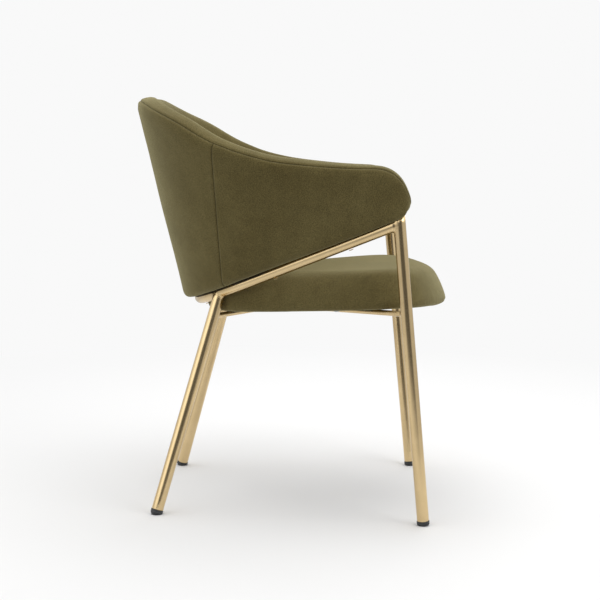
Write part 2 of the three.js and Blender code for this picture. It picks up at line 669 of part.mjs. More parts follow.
const insert = (start) => ring(start, RAIL_UP, BOLT.shank, INSERT.radius, INSERT.length);
let strip = shellBody(0).subtract(shellBody(COVER)).intersect(stripZone(0));
let woodRail = baseRail(0, BASE_BOTTOM).intersect(shellBody(COVER + GAP / 2));
for (const { name, centre } of shellBoltPlaces) {
  const underHead = alongRailUp(centre, -TUBE_RADIUS - GAP);
  const insertStart = alongRailUp(centre, BASE_BOTTOM);
  const boltLength = TUBE_RADIUS + GAP + BASE_BOTTOM + INSERT.length;
  const through = holeThrough(centre, RAIL_UP, 2 * TUBE_RADIUS, BOLT.shank);
  const insertEnd = alongRailUp(centre, BASE_BOTTOM + BASE_RAIL.height + INSERT.length);
  rail = rail.subtract(through);
  strip = strip.subtract(through);
  woodRail = woodRail.subtract(hole(centre, insertEnd, INSERT.radius + HOLE_CLEARANCE));
  add("shell_bolt_" + name, bolt(underHead, RAIL_UP, boltLength), brass);
  add("shell_insert_" + name, insert(insertStart), zinc);
}
add("back_rail", rail, brass);
add("shell_base_strip", strip, fibreCloth);
add("shell_base_rail", woodRail, plywood);

const inShell = shellBody(COVER + GAP);
const coreBody = core(0, UNDER).intersect(inShell).subtract(baseRail(GAP, -TUBE_RADIUS));
add("shell_core", coreBody, plywood);

// ---- Shell padding and covers ---------------------------------------------------------------
const outerPadZone = (grow) => shellLoft(({ height, railOffset }) => {
  const low = railOffset + BASE_RAIL.width / 2 + GAP + CORE.thickness / 2 - grow;
  const high = CORE.topOut - grow;
  const top = height - CORE.topDrop + grow;
  return fourSided([
    planePoint(OUTSIDE, UNDER), planePoint(OUTSIDE, top),
    planePoint(high, top - CORE.thickness / 2), planePoint(low, UNDER),
  ]);
}, bodyStations).intersect(coreFront(2 * GAP + grow));
const padding = inShell.subtract(core(GAP, UNDER)).subtract(baseRail(GAP, -TUBE_RADIUS));
add("outer_padding", padding.intersect(outerPadZone(0)), foam);
add("inner_padding", padding.subtract(outerPadZone(GAP)), foam);

const covers = shellBody(0).subtract(shellBody(COVER));
const outerCovers = covers.intersect(outerZone(0)).subtract(stripZone(GAP));
add("inner_cover", covers.subtract(outerZone(GAP)).subtract(stripZone(GAP)), velvet);
const seamPoint = point(0, PANEL_SEAM.y, PANEL_SEAM.z);
const seamNormal = point(0, 1, -PANEL_SEAM.lean).normalize();
const seamFrom = (offset, normal) =>
  behind(seamPoint.clone().addScaledVector(seamNormal, offset), normal);
add("outer_back_panel", outerCovers.subtract(seamFrom(GAP / 2, seamNormal)), velvet);
const sidePanels = outerCovers.intersect(seamFrom(-GAP / 2, seamNormal));
const middlePlane = (side) => behind(point(0, 0, 0), point(side, 0, 0));
add("outer_side_panel_left", sidePanels.intersect(middlePlane(-1)), velvet);
add("outer_side_panel_right", sidePanels.intersect(middlePlane(1)), velvet);

export default chair;
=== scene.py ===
"""Looks for the dining chair: velvet shell and seat, brushed brass tubes, plain studio.

Metres, +Z up, in the row frame: the sitter faces -Y and the origin is on the floor.
"""

import math

import bmesh
import bpy
import numpy as np
from mathutils import Matrix, Vector
from mathutils import noise as space_noise
from numpy.linalg import norm


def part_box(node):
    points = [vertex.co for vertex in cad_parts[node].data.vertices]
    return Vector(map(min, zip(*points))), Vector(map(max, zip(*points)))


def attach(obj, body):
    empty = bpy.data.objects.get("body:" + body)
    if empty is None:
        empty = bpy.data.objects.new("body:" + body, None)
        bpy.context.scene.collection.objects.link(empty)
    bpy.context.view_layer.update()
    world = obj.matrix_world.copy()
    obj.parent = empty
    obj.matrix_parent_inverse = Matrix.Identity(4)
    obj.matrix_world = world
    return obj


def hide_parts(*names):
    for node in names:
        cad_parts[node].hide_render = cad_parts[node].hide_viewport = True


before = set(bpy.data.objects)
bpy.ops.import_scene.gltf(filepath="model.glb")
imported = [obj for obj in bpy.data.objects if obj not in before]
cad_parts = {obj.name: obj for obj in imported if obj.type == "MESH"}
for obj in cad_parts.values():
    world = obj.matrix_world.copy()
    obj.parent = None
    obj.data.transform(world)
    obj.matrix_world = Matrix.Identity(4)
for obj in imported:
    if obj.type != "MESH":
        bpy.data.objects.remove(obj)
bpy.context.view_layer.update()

# ---- Driving dimensions ----
# They match the CAD part's, but for the seams' places, a shell top and seat crown about 2 mm lower and
# smaller heads on the shell's bolts.
TUBE_RADIUS = 0.011
FRONT_FOOT = np.array([0.236, -0.2518, 0.0])
REAR_FOOT = np.array([0.1982, 0.2426, 0.0])
RAIL_BACK = {"y": 0.1814, "z": 0.3881}
RAIL_END = np.array([0.2705, -0.1956, 0.5507])
RAIL_BEND_RADIUS = 0.181
REAR_JOINT_ANGLE = math.radians(43.2)
BRACE_RADIUS = 0.005
GLIDE_HEIGHT = 0.009
GLIDE_PAST_TUBE = 0.0006
# A glide's turned side, as (distance in from its rim, height), and the flat that its face is pressed to.
GLIDE_OUTLINE = [
    (0.0034, 0.0), (0.0022, 0.0003), (0.0010, 0.0011), (0.0003, 0.0022), (0.0, 0.0034), (0.0, 0.0052),
    (0.0003, 0.0054), (0.0003, 0.0057), (0.0, 0.0059), (0.0, GLIDE_HEIGHT - 0.0006),
    (0.0005, GLIDE_HEIGHT - 0.0001), (0.0016, GLIDE_HEIGHT),
]
GLIDE_FACE = {"depth": 0.0005, "height": 0.0002}
GLIDE_TO_TUBE = 0.0002
EDGE_ROUND = 0.0006
TUBE_GIRTH = 0.07
# A weld's leg lengths, the height of its toes over the bars and how far its root goes into them.
WELD_LEG = {"rail": 0.0040, "brace": 0.0030, "cross": 0.0020}
WELD_TOE = 0.00012
WELD_CROWN = 0.0002
WELD_ROOT = 0.0012
WASHER = {"radius": 0.008, "thickness": 0.0012, "chamfer": 0.0003}
SEAT_HEAD = {"radius": 0.006, "height": 0.0022, "gap": 0.0003}
SHELL_HEAD = {"radius": 0.0045, "height": 0.0011, "above_lowest": 0.0017}

BACK_HEIGHT = 0.7725
ARM_HEIGHT = 0.650
TOP_HALF_WIDTH = 0.274
TOP_BACK_Y = 0.2855
TOP_CURVE_DEPTH = 0.198
SHELL_THICKNESS = 0.044
SHELL_FRONT_Y = -0.2146
SHELL_PAST_RAIL = 0.010
SHELL_BASE_BACK_Y = RAIL_BACK["y"] + SHELL_PAST_RAIL
SHELL_BASE_BEND_RADIUS = RAIL_BEND_RADIUS + SHELL_PAST_RAIL
SHELL_BASE_FRONT = 0.005
SHELL_TO_RAIL = 0.0004
NOSE = {"length": 0.064, "height": 0.075, "power": 2.2, "roundness": 6}
BOTTOM_INNER_ROUND = 0.006
TOP_EDGE_SHARES = [1, 1, 0.872, 0.665, 0.345, 0.131, 0.047, 0.008, 0]
RULING_REACH = 0.228
RULING_POWER = 1.6
TOP_SEAM_DROP = 0.003
PANEL_SEAM_TOP_Y = 0.126
# How far the panel seam's foot leans back, and how far along the shell that lean fades out.
PANEL_SEAM_LEAN = {"shift": 0.003, "reach": 0.07}
# The cover rolls under more softly at the back and hangs a little beside the rail, more so under the arms.
FOOT_ROUND = {"arm": 0.010, "back": 0.018, "from": -0.09, "length": 0.10}
FOOT_HANG = {"back": 0.0034, "more": 0.0019, "from": 0.06, "length": 0.15}
HANG_EDGE = {"past_rail": 0.005, "blend": 0.007, "height": 0.045}
NOSE_FOOT = {"length": 0.013, "lift": 0.016, "height": 0.060}
# Groove and raised lip beside every seam, and the cover's slow unevenness as (wave length, height).
SEAM_GROOVE = {"depth": 0.0015, "width": 0.0011, "pucker": 0.35, "pucker_length": 0.006}
SEAM_LIP = {"height": 0.00045, "at": 0.0048, "width": 0.003}
SEAM_LINE_WIDTH = 0.0009
COVER_WAVES = [(0.085, 0.0011), (0.03, 0.00022)]
STRIP = {"width": 0.016, "thickness": 0.0006, "drop": 0.0011, "bare_nose_rows": 16}

SEAT_FRONT_Y = -0.3022
SEAT_BACK_Y = 0.1674
SEAT_HALF_OUTLINE = [
    (0.052, 0.163), (0.098, 0.146), (0.137, 0.112), (0.171, 0.050), (0.190, -0.005), (0.206, -0.055),
    (0.221, -0.105), (0.231, -0.155), (0.229, -0.195), (0.206, -0.232), (0.163, -0.261), (0.092, -0.288),
]
SEAT_PLANE = {"z": 0.3802, "slope": 0.069}
SEAT_FRONT_DROP = {"from": -0.175, "rate": 1.1}
# The seat's side, as (distance in from the outline, height above its base).
SEAT_PROFILE = [
    (0.044, 0.0), (0.012, 0.0), (0.003, 0.003), (0.0, 0.011), (0.0065, 0.028), (0.013, 0.0415),
    (0.025, 0.060), (0.037, 0.0665), (0.049, 0.069), (0.080, 0.0704), (0.130, 0.071), (0.200, 0.0712),
]
SEAT_LIP_INSET = 0.044
SEAT_SHRINK = 0.0012
SEAT_HOLD_HEIGHT = 0.025
SWELLING = {"voxel": 0.005, "pressure": 2.0, "frames": 20, "most": 0.0012}
DUST_CLOTH = {
    "overlap": 0.012, "hem": 0.006, "turned_under": 0.012, "thickness": 0.0006, "sag": 0.0002,
    "wave_length": 0.05, "wave": 0.0004, "area_share": 0.86,
}
STAPLE = {
    "count": 34, "inset": 0.0035, "drop": 0.0020, "turn": 0.25, "half_width": 0.0006, "thickness": 0.0005,
}
# A staple's wire, as (distance along, height).
STAPLE_WIRE = [(-0.005, 0.0008), (-0.0045, 0), (0.0045, 0), (0.005, 0.0008)]

# ---- Mesh density and random draws ----
RING_SIDES = 64
SCREW_SIDES = 48
TUBE_STATIONS = 24
RAIL_STATIONS = 180
CORNER_STEPS = 24
# Distances from a seam at which the cover has rows and columns of points.
SEAM_STEPS = np.array([0.0003, 0.0006, 0.001, 0.0015, 0.0021, 0.0029, 0.004, 0.0055, 0.0075])
# Points round a cross-section: under the foot, up the outside, over the top, down the inside, back under.
FOOT_POINTS, OUTER_POINTS, TOP_POINTS, INNER_POINTS, LAST_POINTS = 12, 36, 6, 54, 14
SEAM_COLUMN = FOOT_POINTS + OUTER_POINTS + len(SEAM_STEPS)
# Cross-sections along half of the shell: behind the panel seam, in front of it, round the nose.
BACK_ROWS, SIDE_ROWS, NOSE_ROWS = 66, 62, 30
SEAT_SIDES = {"cover": 220, "cloth": 160}
SEED = 7
rng = np.random.default_rng(SEED)


def unit(v):
    return v / norm(v)


def vec(*xyz):
    return np.array(xyz, float)


def grey(tone):
    return (tone, tone, tone)


def smooth_step(value):
    value = np.clip(value, 0, 1)
    return value * value * (3 - 2 * value)


def bezier(a, b, c, steps):
    t = np.linspace(0, 1, steps + 1)[:, None]
    return (1 - t) ** 2 * a + 2 * t * (1 - t) * b + t ** 2 * c


# ---- Camera, light and floor ----
CAMERA_AT = vec(-2.5635, -0.0914, 0.6604)
CAMERA_FORWARD = unit(vec(0.99378, 0.02973, -0.10729))
CAMERA_ROLL = 0.0125
CAMERA_LENS = 78.32
CAMERA_SENSOR = 36
# Tones of the backdrop as the eye sees it and of the soft light that the room gives.
BACKDROP_TONE = 0.947
SOFT_TONE = 0.82
# Studio brightness in reflections, as (height share from straight down to straight up, tone).
STUDIO_TONES = [(0.0, 0.60), (0.47, 0.60), (0.55, 0.75), (0.66, 1.15), (0.80, 1.35), (1.0, 1.2)]
# The unlit room behind the camera: a direction and the cosines at which it starts and is full.
DARK_ROOM = {"towards": (-0.985, -0.17, 0.02), "edge": 0.77, "core": 0.91, "depth": 0.96, "tone": 0.10}
FLOOR_REACH = 40
FLOOR_GAP = 0.0002
FLOOR_TONE = 0.82
# Distances over which the floor fades into the backdrop for the eye, and to its far tone in reflections.
FLOOR_FADE = (0.8, 2.0)
FLOOR_DARK = (0.5, 1.3)
FLOOR_FAR_TONE = 0.62
STUDIO_MIDDLE = (0, 0, 0.45)
# Area lights, as (name, place, target, size, power, tint).
LIGHTS = [
    ("key", (-1.5, -2.3, 2.2), STUDIO_MIDDLE, (1.8, 1.6), 20, (1, 0.99, 0.97)),
    ("top", (0.1, 0.1, 2.6), (0, 0, 0), (2.2, 2.2), 26, grey(1)),
    ("fill", (-1.9, 2.4, 1.2), STUDIO_MIDDLE, (2.4, 2.6), 10, grey(1)),
    ("rim", (2.4, -0.6, 1.6), STUDIO_MIDDLE, (1.6, 1.6), 10, grey(1)),
]


def make_camera():
    data = bpy.data.cameras.new("camera")
    data.sensor_width = CAMERA_SENSOR
    data.lens = CAMERA_LENS
    camera = new_object("camera", data)
    level = unit(np.cross(CAMERA_FORWARD, vec(0, 0, 1)))
    upright = np.cross(level, CAMERA_FORWARD)
    right = level * math.cos(CAMERA_ROLL) + upright * math.sin(CAMERA_ROLL)
    up = upright * math.cos(CAMERA_ROLL) - level * math.sin(CAMERA_ROLL)
    turn = Matrix([right, up, -CAMERA_FORWARD]).transposed()
    camera.matrix_world = Matrix.Translation(Vector(CAMERA_AT)) @ turn.to_4x4()
    bpy.context.scene.camera = camera


def link(tree, source, target):
    tree.links.new(source, target)


def new_node(tree, kind):
    return tree.nodes.new("ShaderNode" + kind)


def vector_math(tree, operation, source):
    node = new_node(tree, "VectorMath")
    node.operation = operation
    link(tree, source, node.inputs[0])
    return node


def mix_shaders(tree, factor, first, second):
    mix = new_node(tree, "MixShader")
    for socket, source in enumerate((factor, first, second)):
        link(tree, source, mix.inputs[socket])
    return mix.outputs[0]


def plain_shader(tree, kind, tone):
    """A background or an emission of one grey tone."""
    node = new_node(tree, kind)
    node.inputs["Color"].default_value = (*grey(tone), 1)
    return node.outputs[0]


def studio_tone(tree, direction):
    """Brightness of the studio in a direction: soft and pale, but dark in the room behind the camera."""
    split = new_node(tree, "SeparateXYZ")
    link(tree, direction, split.inputs[0])
    height = map_range(tree, split.outputs["Z"], -1, 1, 0, 1)
    by_height = ramp(tree, height, [(place, grey(tone)) for place, tone in STUDIO_TONES])
    return darkened(tree, direction, by_height)


def darkened(tree, direction, color):
    """A colour, or the dark room's tone where a direction points into that room."""
    facing = vector_math(tree, "DOT_PRODUCT", direction)
    facing.inputs[1].default_value = DARK_ROOM["towards"]
    edge, core = DARK_ROOM["edge"], DARK_ROOM["core"]
    dark = map_range(tree, facing.outputs["Value"], edge, core, 0, DARK_ROOM["depth"])
    return blend_colors(tree, "MIX", dark, color, grey(DARK_ROOM["tone"]))


def make_world():
    """An even backdrop for the eye, soft light all round, and the studio's tones in reflections."""
    world = bpy.data.worlds.new("studio")
    bpy.context.scene.world = world
    world.use_nodes = True
    tree = world.node_tree
    tree.nodes.clear()
    direction = new_node(tree, "TexCoord").outputs["Generated"]
    mirrored = new_node(tree, "Background")
    link(tree, studio_tone(tree, direction), mirrored.inputs["Color"])
    soft = plain_shader(tree, "Background", SOFT_TONE)
    seen = plain_shader(tree, "Background", BACKDROP_TONE)
    path = new_node(tree, "LightPath")
    indirect = mix_shaders(tree, path.outputs["Is Glossy Ray"], soft, mirrored.outputs[0])
    surface = mix_shaders(tree, path.outputs["Is Camera Ray"], indirect, seen)
    link(tree, surface, new_node(tree, "OutputWorld").inputs["Surface"])


def area_light(name, at, target, size, power, tint):
    data = bpy.data.lights.new(name, "AREA")
    data.shape = "RECTANGLE"
    data.size, data.size_y = size
    data.energy = power
    data.color = tint
    light = new_object(name, data)
    light.location = at
    light.rotation_mode = "QUATERNION"
    light.rotation_quaternion = (Vector(target) - Vector(at)).to_track_quat("-Z", "Y")


def make_lights():
    for light in LIGHTS:
        area_light(*light)


def new_object(name, data):
    made = bpy.data.objects.new(name, data)
    bpy.context.scene.collection.objects.link(made)
    return made


def make_floor():
    """A pale floor: it fades into the backdrop for the eye, and into the dark room in reflections."""
    mesh = bpy.data.meshes.new("floor")
    corners = [(x * FLOOR_REACH, y * FLOOR_REACH, 0) for x, y in ((-1, -1), (1, -1), (1, 1), (-1, 1))]
    mesh.from_pydata(corners, [], [(0, 1, 2, 3)])
    floor = new_object("floor", mesh)
    floor.location.z = -FLOOR_GAP
    material, tree, shader, place = new_material("pale_floor")
    set_sockets(shader, {"Base Color": (*grey(FLOOR_TONE), 1), "Roughness": 0.9, "Specular IOR Level": 0.0})
    distance = vector_math(tree, "LENGTH", place).outputs["Value"]
    outward = vector_math(tree, "NORMALIZE", place).outputs[0]
    far_tone = new_node(tree, "RGB").outputs[0]
    far_tone.default_value = (*grey(FLOOR_FAR_TONE), 1)
    room = new_node(tree, "Emission")
    link(tree, darkened(tree, outward, far_tone), room.inputs["Color"])
    backdrop = plain_shader(tree, "Emission", BACKDROP_TONE)
    near = shader.outputs[0]
    mirrored = mix_shaders(tree, map_range(tree, distance, *FLOOR_DARK, 0, 1), near, room.outputs[0])
    seen = mix_shaders(tree, map_range(tree, distance, *FLOOR_FADE, 0, 1), near, backdrop)
    path = new_node(tree, "LightPath")
    surface = mix_shaders(tree, path.outputs["Is Camera Ray"], mirrored, seen)
    link(tree, surface, tree.nodes["Material Output"].inputs["Surface"])
    mesh.materials.append(material)


# ---- Materials ----
# Colours along a noise, as (place, colour).
OLIVE = [(0.32, (0.094, 0.073, 0.026)), (0.5, (0.111, 0.088, 0.033)), (0.68, (0.128, 0.103, 0.040))]
BRASS = [(0.3, (0.66, 0.50, 0.27)), (0.55, (0.71, 0.54, 0.30)), (0.8, (0.75, 0.58, 0.33))]
PLASTIC = [(0.35, (0.010, 0.011, 0.012)), (0.7, (0.030, 0.032, 0.034))]
LINING = [(0.3, (0.010, 0.010, 0.009)), (0.7, (0.026, 0.026, 0.024))]
ZINC = [(0.3, (0.40, 0.41, 0.42)), (0.7, (0.60, 0.61, 0.62))]
SEAM_SHADE = {"color": (0.022, 0.018, 0.008), "share": 0.5}
VELVET_SOCKETS = {
    "Roughness": 0.92, "Specular IOR Level": 0.12, "Sheen Weight": 0.55, "Sheen Roughness": 0.42,
    "Sheen Tint": (0.66, 0.62, 0.36, 1),
}
# Noise scales round and along a tube, which draw the brushing out into lines.
BRUSH_LINES = (900, 18, 1)
BRUSH_FINE = (2600, 60, 1)


def new_material(name):
    """A new material with its node tree, its shader and the object's coordinates."""
    material = bpy.data.materials.new(name)
    material.use_nodes = True
    tree = material.node_tree
    place = new_node(tree, "TexCoord").outputs["Object"]
    return material, tree, tree.nodes["Principled BSDF"], place


def set_sockets(shader, values):
    for name, value in values.items():
        shader.inputs[name].default_value = value


def noise(tree, coordinates, scale, detail=3, roughness=0.55, stretch=None):
    if stretch:
        mapping = new_node(tree, "Mapping")
        mapping.inputs["Scale"].default_value = stretch
        link(tree, coordinates, mapping.inputs["Vector"])
        coordinates = mapping.outputs[0]
    node = new_node(tree, "TexNoise")
    node.inputs["Scale"].default_value = scale
    node.inputs["Detail"].default_value = detail
    node.inputs["Roughness"].default_value = roughness
    link(tree, coordinates, node.inputs["Vector"])
    return node.outputs[0]


def ramp(tree, source, stops):
    node = new_node(tree, "ValToRGB")
    elements = node.color_ramp.elements
    while len(elements) < len(stops):
        elements.new(0.5)
    for element, (place, color) in zip(elements, stops):
        element.position = place
        element.color = (*color, 1)
    link(tree, source, node.inputs[0])
    return node.outputs[0]


def blend_colors(tree, kind, factor, first, second):
    node = new_node(tree, "Mix")
    node.data_type = "RGBA"
    node.blend_type = kind
    if isinstance(factor, (int, float)):
        node.inputs[0].default_value = factor
    else:
        link(tree, factor, node.inputs[0])
    link(tree, first, node.inputs[6])
    if isinstance(second, tuple):
        node.inputs[7].default_value = (*second, 1)
    else:
        link(tree, second, node.inputs[7])
    return node.outputs[2]


def map_range(tree, source, low, high, to_low, to_high):
    node = new_node(tree, "MapRange")
    for name, value in (("From Min", low), ("From Max", high), ("To Min", to_low), ("To Max", to_high)):
        node.inputs[name].default_value = value
    link(tree, source, node.inputs["Value"])
    return node.outputs[0]


def bump(tree, height, strength, distance, normal=None):
    node = new_node(tree, "Bump")
    node.inputs["Strength"].default_value = strength
    node.inputs["Distance"].default_value = distance
    link(tree, height, node.inputs["Height"])
    if normal is not None:
        link(tree, normal, node.inputs["Normal"])
    return node.outputs[0]


def finish(tree, shader, color, roughness, normal):
    """Links a shader's colour, roughness and normal."""
    for name, source in (("Base Color", color), ("Roughness", roughness), ("Normal", normal)):
        link(tree, source, shader.inputs[name])


def make_velvet():
    """Short olive pile: soft clouds where the nap lies differently, fine speckle, dark seams."""
    material, tree, shader, place = new_material("olive_velvet")
    clouds = noise(tree, place, 9, 4, 0.6)
    patches = noise(tree, place, 34, 3, 0.6)
    pile = noise(tree, place, 620, 2, 0.7)
    fibres = noise(tree, place, 1500, 2, 0.7)
    mottle = ramp(tree, patches, [(0.3, grey(0.40)), (0.7, grey(0.60))])
    speckle = ramp(tree, pile, [(0.25, grey(0.22)), (0.75, grey(0.78))])
    mottled = blend_colors(tree, "OVERLAY", 0.32, ramp(tree, clouds, OLIVE), mottle)
    speckled = blend_colors(tree, "OVERLAY", 0.85, mottled, speckle)
    seam = new_node(tree, "Attribute")
    seam.attribute_name = "seam"
    shade = map_range(tree, seam.outputs["Fac"], 0, 1, 0, SEAM_SHADE["share"])
    link(tree, blend_colors(tree, "MIX", shade, speckled, SEAM_SHADE["color"]), shader.inputs["Base Color"])
    set_sockets(shader, VELVET_SOCKETS)
    soft = bump(tree, patches, 0.25, 0.0012)
    fuzzy = bump(tree, pile, 0.55, 0.0007, soft)
    link(tree, bump(tree, fibres, 0.5, 0.0003, fuzzy), shader.inputs["Normal"])
    return material


def make_brass():
    """Satin brass: fine brushing along the tube, faint clouding and slightly dulled patches."""
    material, tree, shader, place = new_material("brushed_brass")
    uv = new_node(tree, "TexCoord").outputs["UV"]
    lines = noise(tree, uv, 1, 4, 0.6, BRUSH_LINES)
    fine = noise(tree, uv, 1, 2, 0.6, BRUSH_FINE)
    clouds = noise(tree, place, 26, 4, 0.6)
    streaks = ramp(tree, lines, [(0.3, grey(0.44)), (0.7, grey(0.56))])
    color = blend_colors(tree, "OVERLAY", 0.2, ramp(tree, clouds, BRASS), streaks)
    shader.inputs["Metallic"].default_value = 1.0
    normal = bump(tree, fine, 0.04, 0.0001, bump(tree, lines, 0.05, 0.0003))
    finish(tree, shader, color, map_range(tree, lines, 0.3, 0.7, 0.17, 0.25), normal)
    return material


def make_plastic():
    """Moulded black plastic with a fine grain and scuffed edges."""
    material, tree, shader, place = new_material("black_plastic")
    scuffs = noise(tree, place, 240, 4, 0.65)
    grain = noise(tree, place, 1400, 2, 0.6)
    roughness = map_range(tree, scuffs, 0.3, 0.7, 0.34, 0.52)
    finish(tree, shader, ramp(tree, scuffs, PLASTIC), roughness, bump(tree, grain, 0.3, 0.0002))
    return material


def make_lining():
    """Black non-woven lining: pressed fibres with a faint dimple pattern."""
    material, tree, shader, place = new_material("black_lining")
    fibres = noise(tree, place, 900, 3, 0.7)
    dimples = new_node(tree, "TexVoronoi")
    dimples.inputs["Scale"].default_value = 420
    link(tree, place, dimples.inputs["Vector"])
    link(tree, ramp(tree, fibres, LINING), shader.inputs["Base Color"])
    shader.inputs["Roughness"].default_value = 0.95
    pressed = bump(tree, dimples.outputs["Distance"], 0.4, 0.0004)
    link(tree, bump(tree, fibres, 0.4, 0.0003, pressed), shader.inputs["Normal"])
    return material


def make_zinc():
    """Zinc plating: cool grey steel with cloudy passivation and fine turning marks."""
    material, tree, shader, place = new_material("zinc_plate")
    clouds = noise(tree, place, 320, 4, 0.6)
    shader.inputs["Metallic"].default_value = 1.0
    roughness = map_range(tree, clouds, 0.3, 0.7, 0.25, 0.45)
    turned = bump(tree, noise(tree, place, 2400, 2), 0.2, 0.0001)
    finish(tree, shader, ramp(tree, clouds, ZINC), roughness, turned)
    return material


# ---- Mesh helpers ----
def mesh_object(name, points, faces, material, uvs=None, smooth=True):
    """A new object from points and faces, with its normals outward and uvs given per point."""
    mesh = bpy.data.meshes.new(name)
    mesh.from_pydata([tuple(p) for p in points], [], faces)
    mesh.materials.append(material)
    if uvs is not None:
        layer = mesh.uv_layers.new(name="uv")
        corner_vertices = np.zeros(len(mesh.loops), int)
        mesh.loops.foreach_get("vertex_index", corner_vertices)
        layer.data.foreach_set("uv", np.asarray(uvs, float)[corner_vertices].ravel())
    made = bmesh.new()
    made.from_mesh(mesh)
    bmesh.ops.recalc_face_normals(made, faces=made.faces)
    made.to_mesh(mesh)
    made.free()
    if smooth:
        mesh.shade_smooth()
    return new_object(name, mesh)


def grid_faces(rows, columns, wrap_rows=False):
    """Quads between rows of points, each row closed on itself."""
    faces = []
    for i in range(rows if wrap_rows else rows - 1):
        j = (i + 1) % rows
        for k in range(columns):
            m = (k + 1) % columns
            faces.append((i * columns + k, i * columns + m, j * columns + m, j * columns + k))
    return faces


def loft(name, rings, material, lengths=None):
    """A skin through rings of points, closed round each ring, with a fan over each end."""
    rings = np.asarray(rings, float)
    count, columns = rings.shape[:2]
    faces = grid_faces(count, columns)
    points = np.vstack([rings.reshape(-1, 3), rings[0].mean(0), rings[-1].mean(0)])
    start, end, last = count * columns, count * columns + 1, (count - 1) * columns
    for k in range(columns):
        m = (k + 1) % columns
        faces.append((start, m, k))
        faces.append((end, last + k, last + m))
    uvs = None
    if lengths is not None:
        around = np.tile(np.arange(columns) / columns, count) * TUBE_GIRTH
        along = np.repeat(lengths, columns)
        uvs = np.vstack([np.column_stack([around, along]), [0, lengths[0]], [0, lengths[-1]]])
    return mesh_object(name, points, faces, material, uvs)


def place_piece(piece, slot_name, *nodes):
    """Ties a piece to the chair's body and hides the CAD nodes that it stands for; slot_name is not used."""
    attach(piece, "root")
    if nodes:
        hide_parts(*nodes)


def points_of(piece):
    return np.array([v.co for v in piece.data.vertices])


def move_points(piece, points):
    piece.data.vertices.foreach_set("co", points.astype(np.float32).ravel())
    piece.data.update()


def modify(piece, kind, **settings):
    """Adds a modifier of a kind with its settings."""
    modifier = piece.modifiers.new(kind.lower(), kind)
    for name, value in settings.items():
        setattr(modifier, name, value)
    return modifier


def box_middle(node):
    low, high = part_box(node)
    return np.array((low + high) / 2)


# ---- Rail line ----
RAIL_SLOPE = (RAIL_END[2] - RAIL_BACK["z"]) / (RAIL_BACK["y"] - RAIL_END[1])
RAIL_UP = unit(vec(0, RAIL_SLOPE, 1))


class SplayedU:
    """A rear bend with a straight, splayed arm on each side, lying in the rail plane."""

    def __init__(self, radius, back_y, end, lift):
        self.radius, self.lift = radius, lift
        self.centre_y = back_y - radius
        reach = math.hypot(end[0], end[1] - self.centre_y)
        self.bend = math.atan2(end[0], end[1] - self.centre_y) - math.acos(radius / reach)
        self.half = radius * self.bend + math.sqrt(reach * reach - radius * radius)

    def angle(self, distance):
        return math.copysign(min(abs(distance) / self.radius, self.bend), distance)

    def outward(self, distance):
        angle = self.angle(distance)
        return vec(math.sin(angle), math.cos(angle), 0)

    def at(self, distance):
        angle = self.angle(distance)
        past = distance - self.radius * angle
        x = self.radius * math.sin(angle) + past * math.cos(angle)
        y = self.centre_y + self.radius * math.cos(angle) - abs(past) * math.sin(abs(angle))
        return vec(x, y, RAIL_BACK["z"] + RAIL_SLOPE * (RAIL_BACK["y"] - y) + self.lift)

    def outside(self, p):
        """How far a point with x >= 0 lies outside the line, in plan."""
        if math.atan2(p[0], p[1] - self.centre_y) < self.bend:
            return math.hypot(p[0], p[1] - self.centre_y) - self.radius
        return (p - self.at(self.radius * self.bend)) @ self.outward(self.half)

    def distance_at_y(self, y):
        bend_y = self.centre_y + self.radius * math.cos(self.bend)
        if y > bend_y:
            return self.radius * math.acos(min(1, (y - self.centre_y) / self.radius))
        return self.radius * self.bend + (bend_y - y) / math.sin(self.bend)


rail_line = SplayedU(RAIL_BEND_RADIUS, RAIL_BACK["y"], RAIL_END, 0)


# ---- Frame: tubes, welds, glides and screws ----
def frame_across(direction):
    """Two unit vectors across a direction and each other."""
    side = unit(np.cross(direction, vec(0, 0, 1) if abs(direction[2]) < 0.9 else vec(0, 1, 0)))
    return side, np.cross(direction, side)


def circle(centre, side, other, radius, sides=RING_SIDES):
    angles = np.linspace(0, 2 * math.pi, sides, endpoint=False)
    return centre + radius * (np.outer(np.cos(angles), side) + np.outer(np.sin(angles), other))


def flat_bar_ring(low_middle, half_across, up):
    """The four corners of a flat bar's cross-section, from the middle of its lower side."""
    lower = [low_middle - half_across, low_middle + half_across]
    return [*lower, lower[1] + up, lower[0] + up]


def ring_at(centre, direction, radius, sides=RING_SIDES):
    return circle(centre, *frame_across(direction), radius, sides)


def rounded_end(centre, direction, radius, outward):
    """Rings that close a bar's end with a small round; outward is 1 or -1 along the direction."""
    rings = []
    for step in np.linspace(0, math.pi / 2, 5):
        at = centre + direction * outward * EDGE_ROUND * (math.sin(step) - 1)
        rings.append(ring_at(at, direction, radius - EDGE_ROUND * (1 - math.cos(step))))
    return rings


def straight_tube(name, start, end, radius):
    direction = unit(end - start)
    length = norm(end - start)
    first = rounded_end(start, direction, radius, -1)[::-1]
    last = rounded_end(end, direction, radius, 1)
    places = [start + direction * length * k / TUBE_STATIONS for k in range(1, TUBE_STATIONS)]
    rings = np.array([*first, *[ring_at(place, direction, radius) for place in places], *last])
    lengths = [(ring.mean(0) - start) @ direction for ring in rings]
    return loft(name, rings, brass, lengths)


def cut_by_rail_crown(piece, top):
    """Trims a leg's upper end to the plane that touches the rail's crown."""
    data = points_of(piece)
    axis = unit(data[-1] - data[-2])
    over = (data - top - RAIL_UP * TUBE_RADIUS) @ RAIL_UP
    shift = np.where(over > 0, -over / (axis @ RAIL_UP), 0)
    move_points(piece, data + np.outer(shift, axis))


